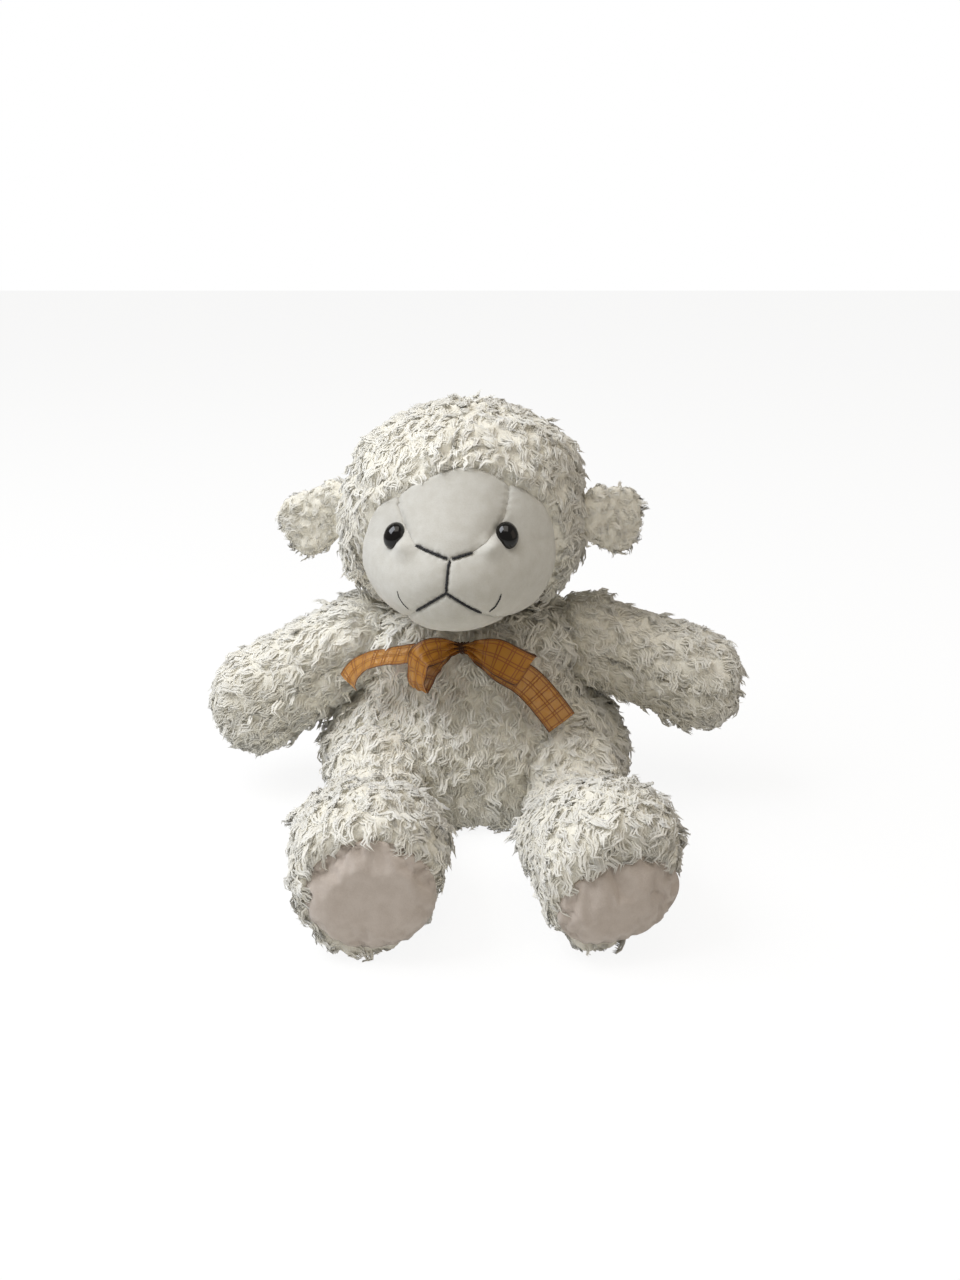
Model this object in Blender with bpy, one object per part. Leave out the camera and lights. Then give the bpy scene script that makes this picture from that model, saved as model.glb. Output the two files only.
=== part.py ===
"""A sitting plush lamb with a curly pile coat, a smooth face, sewn-on limbs and a ribbon bow.

The lamb faces -Y and sits on the plane Z = 0, with +Z up and +X at its own left.
The origin is the middle of the seat. Every length is in metres and every angle in degrees.
Sizes of a form are over its pile. Under the pile lies the fabric's hollow, which the stuffing fills.
Each limb is built along +X in its own frame, whose origin is the middle of its sewn joint.
"""

import math

import bmesh
import bpy
from mathutils import Matrix, Vector
from mathutils.bvhtree import BVHTree

# How finely round forms are faceted
TORSO_SIDES = 16
LIMB_SIDES = 10
HEAD_SIDES = 22
HEAD_RINGS = 12
BALL_SIDES = 12
BALL_RINGS = 6
NECK_SIDES = 24
NECK_RINGS = 10
BALL_END_STEPS = 2

# Fabric, and the gaps that seams and moving joints keep
PILE_COAT = 0.0065
SMOOTH_PLUSH = 0.0022
SEAM_GAP = 0.0004
REST_GAP = 0.0003
TURNING_GAP = 0.0003
FLOOR_CUT = 0.0005
OVERRUN = 0.020

# Torso: a pear that leans back. Shares of its height, greatest half width and greatest half depth
TORSO_HEIGHT = 0.098
TORSO_HALF_WIDTH = 0.074
TORSO_HALF_DEPTH = 0.053
TORSO_LEAN_BACK = 6.0
TORSO_SIDE_SEAM = 0.008
TORSO_SHARES = (
    (0.00, 0.64, 0.66),
    (0.06, 0.86, 0.87),
    (0.22, 1.00, 1.00),
    (0.44, 0.94, 0.97),
    (0.60, 0.81, 0.91),
    (0.76, 0.71, 0.84),
    (0.90, 0.56, 0.68),
    (1.00, 0.30, 0.36),
)

# Neck: a firm ball of fill on which the head turns and nods
NECK_BALL = 0.0160
NECK_ABOVE_TORSO = 0.0005
HEAD_TURN = -7.5
HEAD_LOOK_UP = 8.0

# Head: an egg with a muzzle that swells from its front. Spreads are angles seen from its middle
HEAD_HALF_WIDTH = 0.0610
HEAD_HALF_DEPTH = 0.0565
HEAD_HALF_HEIGHT = 0.0555
HEAD_ABOVE_NECK = 0.0570
HEAD_FORWARD = 0.0130
HEAD_ASIDE = 0.0030
MUZZLE_REACH = 0.0215
MUZZLE_DOWN = 26.0
MUZZLE_SPREAD_SIDEWAYS = 39.0
MUZZLE_SPREAD_UPWARD = 31.0

# Smooth face: an oval opening in the curly hood, filled by four panels. Heights are from mid head
FACE_HALF_WIDTH = 0.0460
FACE_TOP = 0.0225
FACE_BOTTOM = 0.0520
FACE_SIDES = 22
FACE_BEHIND = 0.0100
BRIDGE_TOP_HALF = 0.0250
BRIDGE_EYE_HALF = 0.0200
NOSE_HALF = 0.0128
NOSE_RISE = 0.0050
NOSE_DROP = 0.0140
MOUTH_DROP = 0.0300
MOUTH_HALF = 0.0142
MOUTH_FALL = 0.0095

# Embroidery thread: a V for the nose, a line down from it and a wide mouth with turned-up ends
THREAD = 0.0013
SMILE_OUT = 0.0100
SMILE_RISE = 0.0085
STITCH_STEPS = 5

# Safety eyes: an oval dome on a stem, locked behind the fabric by a washer
EYE_APART = 0.0520
EYE_DROP = 0.0070
EYE_HALF_WIDTH = 0.0054
EYE_HALF_HEIGHT = 0.0065
EYE_DOME = 0.0046
EYE_SUNK = 0.0008
EYE_SIDES = 12
EYE_DOME_SHARES = ((0.00, 1.00), (0.50, 0.87), (0.87, 0.50), (1.00, 0.14))
EYE_STEM = 0.0020
EYE_STEM_LENGTH = 0.0100
WASHER_RADIUS = 0.0060
WASHER_THICKNESS = 0.0015
WASHER_BEHIND_FABRIC = 0.0028

# Ears: two leaves of curly fabric. Shares of the length, and of the greatest half height
EAR_LENGTH = 0.0370
EAR_HALF_HEIGHT = 0.0180
EAR_HALF_THICKNESS = 0.0060
EAR_ROOT = 0.0065
EAR_ABOVE_MIDDLE = 0.0020
EAR_SUNK = -0.0022
EAR_DROOP_RIGHT = 28.0
EAR_DROOP_LEFT = 12.0
EAR_SWEPT_BACK_RIGHT = 0.0
EAR_SWEPT_BACK_LEFT = 34.0
EAR_SHARES = (
    (0.20, 0.55, 1.00),
    (0.34, 0.82, 1.00),
    (0.50, 1.00, 1.00),
    (0.74, 0.98, 0.96),
    (0.92, 0.76, 0.80),
    (1.00, 0.40, 0.46),
)

# Arms. Their joints' places are shares of the torso's half width and height. The other shares are of
# the length, and of the way from the waist by the joint to the fullest stretch
ARM_BALL = 0.0265
ARM_WAIST = 0.0225
ARM_FULL = 0.0252
ARM_LENGTH = 0.0860
ARM_BEND = 0.0040
ARM_OUT_SHARE = 0.81
ARM_HEIGHT_SHARE = 0.84
ARM_DROOP_RIGHT = 30.0
ARM_FORWARD_RIGHT = 4.0
ARM_DROOP_LEFT = 18.0
ARM_FORWARD_LEFT = 12.0
ARM_SHARES = ((0.38, 0.30), (0.58, 0.85), (0.78, 1.00))
HAND_SHARES = ((0.91, 0.82), (0.975, 0.50), (1.00, 0.20))

# Legs, which lie flat on the seat's plane. Shares as for the arms, with the joints' place forward as
# a share of the torso's half depth
LEG_BALL = 0.0280
LEG_WAIST = 0.0245
LEG_FULL = 0.0355
LEG_LENGTH = 0.1200
LEG_OUT_SHARE = 0.62
LEG_FORWARD_SHARE = 0.755
LEG_TURN_RIGHT = -1.0
LEG_TURN_LEFT = 10.0
LEG_SHARES = ((0.26, 0.15), (0.45, 0.58), (0.66, 0.92), (0.85, 1.00), (1.00, 0.82))

# Soles: a smooth pad closes each leg, turned outward by the stuffing behind it
SOLE_TURN_RIGHT = 2.0
SOLE_TURN_LEFT = 20.0
SOLE_TURN_FROM_SHARE = 0.50
SOLE_DOME = 0.0035
SOLE_DOME_SHARES = ((0.00, 1.00), (0.55, 0.84), (0.88, 0.48), (1.00, 0.12))

# Tail: a small stuffed drop of curly fabric at the back
TAIL_BALL = 0.0080
TAIL_WAIST = 0.0065
TAIL_FULL = 0.0105
TAIL_LENGTH = 0.0340
TAIL_HEIGHT_SHARE = 0.37
TAIL_HANG = 38.0
TAIL_SHARES = ((0.45, 0.60), (0.68, 1.00))
TAIL_TIP_SHARES = ((0.86, 0.80), (0.97, 0.42))

# Ribbon bow. Each run lists places from the knot (x, y, z), how far the ribbon's width leans and
# how much of the width shows after gathering, all but the angle as shares of the ribbon's width
RIBBON_WIDTH = 0.0160
RIBBON_THICKNESS = 0.0006
BOW_ASIDE = 0.0060
BOW_HEIGHT_SHARE = 0.915
KNOT_RADIUS = 0.0026
KNOT_LENGTH = 0.0052
TACK_THREAD = 0.0007
TACK_TURNS = 2
TACK_STEPS = 12
RIBBON_STEPS = 2

RIBBON_RUN_SHARES = {
    "ribbon_tail_left": (
        (-0.10, -0.02, 0.00, 0.0, 0.22),
        (-0.70, -0.12, -0.02, -10.0, 0.55),
        (-1.50, -0.20, -0.06, -12.0, 0.90),
        (-2.40, -0.12, -0.20, -20.0, 1.00),
        (-3.05, -0.02, -0.50, -35.0, 1.00),
        (-3.45, 0.02, -0.95, -55.0, 1.00),
    ),
    "ribbon_tail_right": (
        (0.10, -0.02, 0.00, 0.0, 0.22),
        (0.55, -0.30, -0.22, 30.0, 0.60),
        (1.25, -0.58, -0.62, 30.0, 0.90),
        (1.95, -0.82, -1.10, 38.0, 1.00),
        (2.50, -0.94, -1.60, 48.0, 1.00),
        (2.90, -1.00, -2.05, 56.0, 1.00),
    ),
    "ribbon_loop_left": (
        (-0.10, -0.06, 0.00, 0.0, 0.24),
        (-0.60, -0.48, 0.06, 0.0, 0.70),
        (-1.25, -0.72, 0.02, -12.0, 1.00),
        (-1.62, -0.74, -0.32, -50.0, 0.98),
        (-1.72, -0.66, -0.95, -82.0, 0.90),
        (-1.66, -0.48, -1.32, -86.0, 0.84),
        (-1.56, -0.34, -0.95, -80.0, 0.84),
        (-1.30, -0.34, -0.35, -50.0, 0.84),
        (-0.70, -0.28, -0.08, -10.0, 0.60),
        (-0.10, -0.03, 0.00, 0.0, 0.22),
    ),
    "ribbon_loop_right": (
        (0.10, -0.06, 0.00, 0.0, 0.24),
        (0.60, -0.50, -0.02, 8.0, 0.78),
        (1.25, -0.76, -0.20, 15.0, 1.08),
        (1.85, -0.82, -0.46, 20.0, 1.14),
        (2.08, -0.68, -0.56, 22.0, 1.14),
        (1.85, -0.56, -0.50, 20.0, 1.10),
        (1.25, -0.48, -0.26, 15.0, 0.96),
        (0.60, -0.28, -0.08, 8.0, 0.64),
        (0.10, -0.03, 0.00, 0.0, 0.22),
    ),
}


def material(name, colour, roughness, metallic=0.0):
    """A plain surface of one colour, given as linear red, green and blue."""
    made = bpy.data.materials.new(name)
    made.use_nodes = True
    made.diffuse_color = (*colour, 1.0)
    shader = made.node_tree.nodes["Principled BSDF"]
    shader.inputs["Base Color"].default_value = (*colour, 1.0)
    shader.inputs["Roughness"].default_value = roughness
    shader.inputs["Metallic"].default_value = metallic
    return made


def clear_scene():
    for old in list(bpy.data.objects):
        bpy.data.objects.remove(old)


def pivot(name, place, turn=(0.0, 0.0, 0.0), parent=None):
    """An empty on a joint's axis, which carries the pieces that move with it."""
    made = bpy.data.objects.new(name, None)
    made.location = place
    made.rotation_euler = [math.radians(angle) for angle in turn]
    made.parent = parent
    bpy.context.collection.objects.link(made)
    return made


def piece(name, bm, look, parent=None):
    """A named solid from a bmesh, shaded smooth apart from its hard edges."""
    bmesh.ops.recalc_face_normals(bm, faces=bm.faces)
    bmesh.ops.triangulate(bm, faces=bm.faces, quad_method="FIXED")
    mesh = bpy.data.meshes.new(name)
    bm.to_mesh(mesh)
    bm.free()
    mesh.materials.append(look)
    mesh.shade_smooth()
    mesh.set_sharp_from_angle(angle=math.radians(50.0))
    made = bpy.data.objects.new(name, mesh)
    made.parent = parent
    bpy.context.collection.objects.link(made)
    return made


def cutter(name, bm, parent=None):
    """A solid that only cuts others."""
    made = piece(name, bm, GUIDE, parent)
    made.hide_render = True
    made.display_type = "WIRE"
    return made


def cut(target, other, operation="DIFFERENCE"):
    step = target.modifiers.new(operation.title() + " " + other.name, "BOOLEAN")
    step.object = other
    step.operation = operation
    step.solver = "EXACT"


def ring(bm, place, across, upward, sides):
    """A ring of edges round a place, with its two half axes given as vectors."""
    along = across.cross(upward).normalized()
    frame = Matrix((across, upward, along)).transposed().to_4x4()
    frame.translation = place
    made = bmesh.ops.create_circle(bm, segments=sides, radius=1.0, cap_ends=False, matrix=frame)
    corners = set(made["verts"])
    return list({edge for corner in corners for edge in corner.link_edges})


def lofted(rings, sides):
    """A closed body through rings of (place, across, upward), flat at both ends."""
    bm = bmesh.new()
    loops = [ring(bm, place, across, upward, sides) for place, across, upward in rings]
    for first, second in zip(loops, loops[1:]):
        bmesh.ops.bridge_loops(bm, edges=first + second)
    for end in (loops[0], loops[-1]):
        bmesh.ops.contextual_create(bm, geom=end)
    return bm


def ball(radius, sides, rings):
    bm = bmesh.new()
    bmesh.ops.create_uvsphere(bm, u_segments=sides, v_segments=rings, radius=radius)
    return bm


def block(low, high):
    """A box between two corners."""
    bm = bmesh.new()
    size = Vector(high) - Vector(low)
    middle = (Vector(high) + Vector(low)) / 2
    bmesh.ops.create_cube(bm, size=1.0, matrix=Matrix.Translation(middle) @ Matrix.Diagonal((*size, 1.0)))
    return bm


def prism(outline, front, back, seam=0.0):
    """An outline of (x, z) points drawn in by half a seam, carried along Y from front to back."""
    bm = bmesh.new()
    face = bm.faces.new([bm.verts.new((x, front, z)) for x, z in outline])
    if seam:
        bmesh.ops.inset_region(bm, faces=[face], thickness=seam / 2, use_even_offset=True)
        bmesh.ops.delete(bm, geom=[other for other in bm.faces if other != face], context="FACES")
    grown = bmesh.ops.extrude_face_region(bm, geom=[face], use_keep_orig=True)
    moved = [item for item in grown["geom"] if isinstance(item, bmesh.types.BMVert)]
    bmesh.ops.translate(bm, verts=moved, vec=(0.0, back - front, 0.0))
    return bm


def surface_finder(bm):
    """A function that gives the place and normal where a line along +Y meets a form's front."""
    bmesh.ops.triangulate(bm, faces=bm.faces, quad_method="FIXED")
    tree = BVHTree.FromBMesh(bm)
    start = min(corner.co.y for corner in bm.verts) - OVERRUN
    bm.free()

    def find(x, z):
        place, normal, _, _ = tree.ray_cast(Vector((x, start, z)), Vector((0.0, 1.0, 0.0)))
        return place, normal

    return find


def torso_form(inset):
    """The torso's body of rings, drawn in by an inset on every side."""
    lean = math.tan(math.radians(TORSO_LEAN_BACK))
    rings = []
    for height_share, width_share, depth_share in TORSO_SHARES:
        height = inset + height_share * (TORSO_HEIGHT - 2 * inset)
        across = Vector((width_share * TORSO_HALF_WIDTH - inset, 0.0, 0.0))
        upward = Vector((0.0, depth_share * TORSO_HALF_DEPTH - inset, 0.0))
        rings.append((Vector((0.0, lean * height, height)), across, upward))
    return lofted(rings, TORSO_SIDES)


def head_frame():
    """From the head's own frame, with its origin mid head, to the frame of the nodding joint."""
    place = Vector((-HEAD_ASIDE, -HEAD_FORWARD, HEAD_ABOVE_NECK))
    return Matrix.Translation(place) @ Matrix.Rotation(math.radians(-HEAD_LOOK_UP), 4, "X")


def head_form(inset):
    """The head in its own frame: a ball scaled to an egg, then swollen round the muzzle's axis."""
    bm = bmesh.new()
    halves = [half - inset for half in (HEAD_HALF_WIDTH, HEAD_HALF_DEPTH, HEAD_HALF_HEIGHT)]
    bmesh.ops.create_uvsphere(bm, u_segments=HEAD_SIDES, v_segments=HEAD_RINGS, radius=1.0)
    down = math.radians(MUZZLE_DOWN)
    muzzle = Vector((0.0, -math.cos(down), -math.sin(down)))
    upward = Vector((0.0, -math.sin(down), math.cos(down)))
    for corner in bm.verts:
        way = corner.co.copy()
        ahead = way.dot(muzzle)
        sideways = math.degrees(math.atan2(way.x, ahead)) / MUZZLE_SPREAD_SIDEWAYS
        raised = math.degrees(math.atan2(way.dot(upward), ahead)) / MUZZLE_SPREAD_UPWARD
        swell = math.exp(-((sideways**2 + raised**2) ** 1.5))
        corner.co = Vector(half * part for half, part in zip(halves, way)) + MUZZLE_REACH * swell * muzzle
    return bm


def ball_end(radius, waist):
    """Rings of (along, radius) for the ball at a joint, from its back to where it meets the waist."""
    rings = [(-radius * math.cos(math.radians(14.0)), radius * math.sin(math.radians(14.0)))]
    widest = math.degrees(math.asin(waist / radius))
    for step in range(1, 2 * BALL_END_STEPS + 1):
        angle = math.radians(step * (180.0 - widest) / (2 * BALL_END_STEPS))
        rings.append((-radius * math.cos(angle), radius * math.sin(angle)))
    return rings


def limb_rings(sections, lift=0.0, bend=0.0, length=1.0, turn=0.0, turn_from=0.0):
    """Rings across +X from (along, radius). Past the joint each can rise, bend down and turn."""
    rings = []
    for along, radius in sections:
        share = max(0.0, along / length)
        late = max(0.0, (share - turn_from) / (1.0 - turn_from))
        angle = math.radians(turn * late)
        rise = (radius - lift if lift and along > 0.0 else 0.0) - bend * share**2
        across = Vector((math.sin(angle), math.cos(angle), 0.0)) * radius
        rings.append((Vector((along, 0.0, rise)), across, Vector((0.0, 0.0, radius))))
    return rings


def between(low, high, share):
    return low + (high - low) * share


def arm_form(inset):
    ball_radius, waist, full = ARM_BALL - inset, ARM_WAIST - inset, ARM_FULL - inset
    length = ARM_LENGTH - inset
    sections = ball_end(ball_radius, waist)
    sections += [(share * length, between(waist, full, swell)) for share, swell in ARM_SHARES]
    sections += [(share * length, full * narrow) for share, narrow in HAND_SHARES]
    return lofted(limb_rings(sections, bend=ARM_BEND, length=length), LIMB_SIDES)


def tail_form():
    sections = ball_end(TAIL_BALL, TAIL_WAIST)
    for share, swell in TAIL_SHARES:
        sections.append((share * TAIL_LENGTH, between(TAIL_WAIST, TAIL_FULL, swell)))
    sections += [(share * TAIL_LENGTH, TAIL_FULL * narrow) for share, narrow in TAIL_TIP_SHARES]
    return lofted(limb_rings(sections), LIMB_SIDES)


def shifted(station, distance):
    """A ring moved along its own axis."""
    place, across, upward = station
    return place + across.cross(upward).normalized() * distance, across, upward


def leg_rings(inset, sole_turn):
    """Rings of a leg whose underside is level from the joint to the sole."""
    sections = ball_end(LEG_BALL - inset, LEG_WAIST - inset)
    for share, swell in LEG_SHARES:
        sections.append((share * LEG_LENGTH, between(LEG_WAIST, LEG_FULL, swell) - inset))
    return limb_rings(
        sections, lift=LEG_BALL - inset, length=LEG_LENGTH, turn=sole_turn, turn_from=SOLE_TURN_FROM_SHARE
    )


def leg_form(inset, sole_turn, end=0.0):
    """The leg's body. Its hollow runs past the sole's plane, and its stuffing stops short of it."""
    rings = leg_rings(inset, sole_turn)
    if end > 0.0:
        rings.append(shifted(rings[-1], end))
    else:
        rings[-1] = shifted(rings[-1], end)
    return lofted(rings, LIMB_SIDES)


def ear_form():
    rings = limb_rings(ball_end(EAR_ROOT, EAR_ROOT))
    for along_share, height_share, thickness_share in EAR_SHARES:
        across = Vector((0.0, thickness_share * EAR_HALF_THICKNESS, 0.0))
        upward = Vector((0.0, 0.0, height_share * EAR_HALF_HEIGHT))
        rings.append((Vector((along_share * EAR_LENGTH, 0.0, 0.0)), across, upward))
    return lofted(rings, LIMB_SIDES)


def halves(names, make_form, hollow, splits, sockets, look, parent):
    """Panels that share one form: each keeps its own side of the seam, less the hollow and sockets."""
    for name, (low, high) in zip(names, splits):
        made = piece(name, make_form(), look, parent)
        cut(made, cutter(name + "_side", block(low, high), parent), "INTERSECT")
        for other in ([hollow] if hollow else []) + sockets:
            cut(made, other)
        yield made


def make_socket(name, radius, parent, sides=BALL_SIDES, rings=BALL_RINGS):
    """The seat of a ball joint, with its facets clear of the ball."""
    facet = math.cos(math.pi / sides) * math.cos(math.pi / (2 * rings))
    return cutter(name, ball((radius + TURNING_GAP) / facet, sides, rings), parent)


def make_torso(sockets):
    hollow = cutter("torso_hollow", torso_form(PILE_COAT))
    wide, deep, tall = TORSO_HALF_WIDTH + OVERRUN, TORSO_HALF_DEPTH + OVERRUN, TORSO_HEIGHT + OVERRUN
    before, behind = TORSO_SIDE_SEAM - SEAM_GAP / 2, TORSO_SIDE_SEAM + SEAM_GAP / 2
    splits = (
        ((-wide, -deep, -OVERRUN), (wide, before, tall)),
        ((SEAM_GAP / 2, behind, -OVERRUN), (wide, deep, tall)),
        ((-wide, behind, -OVERRUN), (-SEAM_GAP / 2, deep, tall)),
    )
    names = ("torso_front_panel", "torso_back_panel_left", "torso_back_panel_right")
    list(halves(names, lambda: torso_form(0.0), hollow, splits, sockets, PILE, None))
    core = piece("torso_stuffing", torso_form(PILE_COAT + REST_GAP), FILL)
    for other in sockets:
        cut(core, other)


def make_arm(side, parent):
    hollow = cutter(f"arm_{side}_hollow", arm_form(PILE_COAT), parent)
    long, wide = ARM_LENGTH + OVERRUN, ARM_FULL + OVERRUN
    splits = (
        ((-long, -wide, SEAM_GAP / 2), (long, wide, wide)),
        ((-long, -wide, -wide), (long, wide, -SEAM_GAP / 2)),
    )
    names = (f"arm_{side}_upper_panel", f"arm_{side}_lower_panel")
    list(halves(names, lambda: arm_form(0.0), hollow, splits, [], PILE, parent))
    piece(f"arm_{side}_stuffing", arm_form(PILE_COAT + REST_GAP), FILL, parent)


def make_leg(side, sole_turn, parent, floor):
    hollow = cutter(f"leg_{side}_hollow", leg_form(PILE_COAT, sole_turn, OVERRUN), parent)
    long, wide = LEG_LENGTH + OVERRUN, LEG_FULL + OVERRUN
    splits = (
        ((-long, -wide, SEAM_GAP / 2), (long, wide, 2 * wide)),
        ((-long, -wide, -wide), (long, wide, -SEAM_GAP / 2)),
    )
    names = (f"leg_{side}_upper_panel", f"leg_{side}_lower_panel")
    list(halves(names, lambda: leg_form(0.0, sole_turn), hollow, splits, [floor], PILE, parent))
    piece(f"leg_{side}_stuffing", leg_form(PILE_COAT + REST_GAP, sole_turn, -REST_GAP), FILL, parent)
    make_sole(side, leg_rings(PILE_COAT + SEAM_GAP, sole_turn)[-1], parent)


def make_sole(side, seat, parent):
    """A padded disc in the open end of the leg's fabric, level with its edge and domed outward."""
    place, across, upward = seat
    rings = [seat, shifted(seat, SMOOTH_PLUSH)]
    for rise_share, size_share in SOLE_DOME_SHARES[1:]:
        station = (place, across * size_share, upward * size_share)
        rings.append(shifted(station, SMOOTH_PLUSH + rise_share * SOLE_DOME))
    piece(f"foot_{side}_sole", lofted(rings, LIMB_SIDES), SMOOTH, parent)


def make_tail(parent):
    piece("tail", tail_form(), PILE, parent)


def make_ear(side, outward, parent):
    """Front and back leaves, which lie on either side of the ear's middle plane."""
    long, wide, tall = EAR_LENGTH + OVERRUN, EAR_HALF_THICKNESS + OVERRUN, EAR_HALF_HEIGHT + OVERRUN
    near = ((-long, -wide, -tall), (long, -SEAM_GAP / 2, tall))
    far = ((-long, SEAM_GAP / 2, -tall), (long, wide, tall))
    splits = (near, far) if outward > 0 else (far, near)
    list(halves((f"ear_{side}_front", f"ear_{side}_back"), ear_form, None, splits, [], PILE, parent))


def face_oval(grown):
    """The outline of the face's opening: two half ellipses that meet level with mid head."""
    outline = []
    for step in range(FACE_SIDES):
        angle = math.tau * step / FACE_SIDES
        reach = FACE_TOP if math.sin(angle) > 0.0 else FACE_BOTTOM
        outline.append(((FACE_HALF_WIDTH + grown) * math.cos(angle), (reach + grown) * math.sin(angle)))
    return outline


def face_regions():
    """The four panels of the face, as outlines that run past the opening's edge."""
    far = 2 * FACE_BOTTOM
    nose, mouth = (0.0, -NOSE_DROP), (0.0, -MOUTH_DROP)
    edge_fall = MOUTH_DROP + MOUTH_FALL * far / MOUTH_HALF

    def line(side):
        return (
            (side * NOSE_HALF, NOSE_RISE - NOSE_DROP),
            (side * BRIDGE_EYE_HALF, -EYE_DROP),
            (side * BRIDGE_TOP_HALF, FACE_TOP),
            (side * BRIDGE_TOP_HALF, far),
        )

    def cheek(side):
        lips = (side * MOUTH_HALF, -MOUTH_DROP - MOUTH_FALL)
        return (nose, *line(side), (side * far, far), (side * far, -edge_fall), lips, mouth)

    chin = (
        mouth,
        (MOUTH_HALF, -MOUTH_DROP - MOUTH_FALL),
        (far, -edge_fall),
        (far, -edge_fall - far),
        (-far, -edge_fall - far),
        (-far, -edge_fall),
        (-MOUTH_HALF, -MOUTH_DROP - MOUTH_FALL),
    )
    return {
        "face_gusset": (nose, *line(1), *reversed(line(-1))),
        "face_cheek_left": cheek(1),
        "face_cheek_right": cheek(-1),
        "face_chin_panel": chin,
    }


def in_head(bm):
    bmesh.ops.transform(bm, matrix=head_frame(), verts=bm.verts)
    return bm


def facing(place, normal):
    """A frame at a place with its X along the surface's normal and its Z as nearly up as it can be."""
    level = Vector((0.0, 0.0, 1.0)).cross(normal).normalized()
    frame = Matrix((normal, level, normal.cross(level))).transposed().to_4x4()
    frame.translation = place
    return frame


def eye_form(grown):
    """A stem, a step out to the oval rim and the dome. The grown form is the seat that it needs."""
    stem, wide, high = EYE_STEM + grown, EYE_HALF_WIDTH + grown, EYE_HALF_HEIGHT + grown
    stations = [
        (-EYE_STEM_LENGTH - grown, stem, stem),
        (-EYE_SUNK - grown, stem, stem),
        (-EYE_SUNK - grown, wide, high),
    ]
    if grown:
        stations.append((OVERRUN, wide, high))
    else:
        stations += [(rise * EYE_DOME, wide * size, high * size) for rise, size in EYE_DOME_SHARES]
    rings = [(Vector((x, 0.0, 0.0)), Vector((0.0, w, 0.0)), Vector((0.0, 0.0, h))) for x, w, h in stations]
    return lofted(rings, EYE_SIDES)


def washer_form(grown):
    """A disc behind the fabric, round the eye's stem."""
    front = -SMOOTH_PLUSH - WASHER_BEHIND_FABRIC + grown
    back = front - WASHER_THICKNESS - 2 * grown
    across, upward = Vector((0.0, WASHER_RADIUS + grown, 0.0)), Vector((0.0, 0.0, WASHER_RADIUS + grown))
    return lofted([(Vector((x, 0.0, 0.0)), across, upward) for x in (back, front)], EYE_SIDES)


def make_eyes(parent, find, panels, core):
    for side, outward in (("left", 1), ("right", -1)):
        frame = head_frame() @ facing(*find(outward * EYE_APART / 2, -EYE_DROP))
        forms = {}
        for name, form in (
            (f"eye_{side}", eye_form(0.0)),
            (f"eye_{side}_seat", eye_form(REST_GAP)),
            (f"eye_{side}_washer", washer_form(0.0)),
            (f"eye_{side}_washer_pocket", washer_form(REST_GAP)),
        ):
            bmesh.ops.transform(form, matrix=frame, verts=form.verts)
            forms[name] = form
        piece(f"eye_{side}", forms[f"eye_{side}"], GLOSSY, parent)
        seat = cutter(f"eye_{side}_seat", forms[f"eye_{side}_seat"], parent)
        pocket = cutter(f"eye_{side}_washer_pocket", forms[f"eye_{side}_washer_pocket"], parent)
        cut(piece(f"eye_{side}_washer", forms[f"eye_{side}_washer"], WASHER, parent), seat)
        for panel in panels:
            cut(panel, seat)
        cut(core, seat)
        cut(core, pocket)


def make_thread(name, points, thickness, look, parent):
    """A round thread through points, as a curve with filled ends."""
    curve = bpy.data.curves.new(name, "CURVE")
    curve.dimensions = "3D"
    curve.bevel_depth = thickness / 2
    curve.bevel_resolution = 1
    curve.use_fill_caps = True
    spline = curve.splines.new("POLY")
    spline.points.add(len(points) - 1)
    for target, place in zip(spline.points, points):
        target.co = (*place, 1.0)
    curve.materials.append(look)
    made = bpy.data.objects.new(name, curve)
    made.parent = parent
    bpy.context.collection.objects.link(made)


def make_stitches(parent, find):
    """Threads that lie on the face along straight runs between their corners."""
    nose_tip = NOSE_RISE - NOSE_DROP
    lips = -MOUTH_DROP - MOUTH_FALL
    clear = THREAD + REST_GAP
    smile = MOUTH_HALF + SMILE_OUT
    runs = {
        "stitch_nose": ((-NOSE_HALF, nose_tip), (0.0, -NOSE_DROP), (NOSE_HALF, nose_tip)),
        "stitch_lip_line": ((0.0, -NOSE_DROP - clear), (0.0, clear - MOUTH_DROP)),
        "stitch_mouth": (
            (-smile, lips + SMILE_RISE),
            (-MOUTH_HALF, lips),
            (0.0, -MOUTH_DROP),
            (MOUTH_HALF, lips),
            (smile, lips + SMILE_RISE),
        ),
    }
    for name, corners in runs.items():
        points = []
        for start, end in zip(corners, corners[1:]):
            for step in range(STITCH_STEPS):
                x, z = (between(a, b, step / STITCH_STEPS) for a, b in zip(start, end))
                points.append((x, z))
        points.append(corners[-1])
        lying = []
        for x, z in points:
            place, normal = find(x, z)
            lying.append(head_frame() @ (place + normal * (THREAD / 2 + 2 * REST_GAP)))
        make_thread(name, lying, THREAD, THREAD_BLACK, parent)


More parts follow.
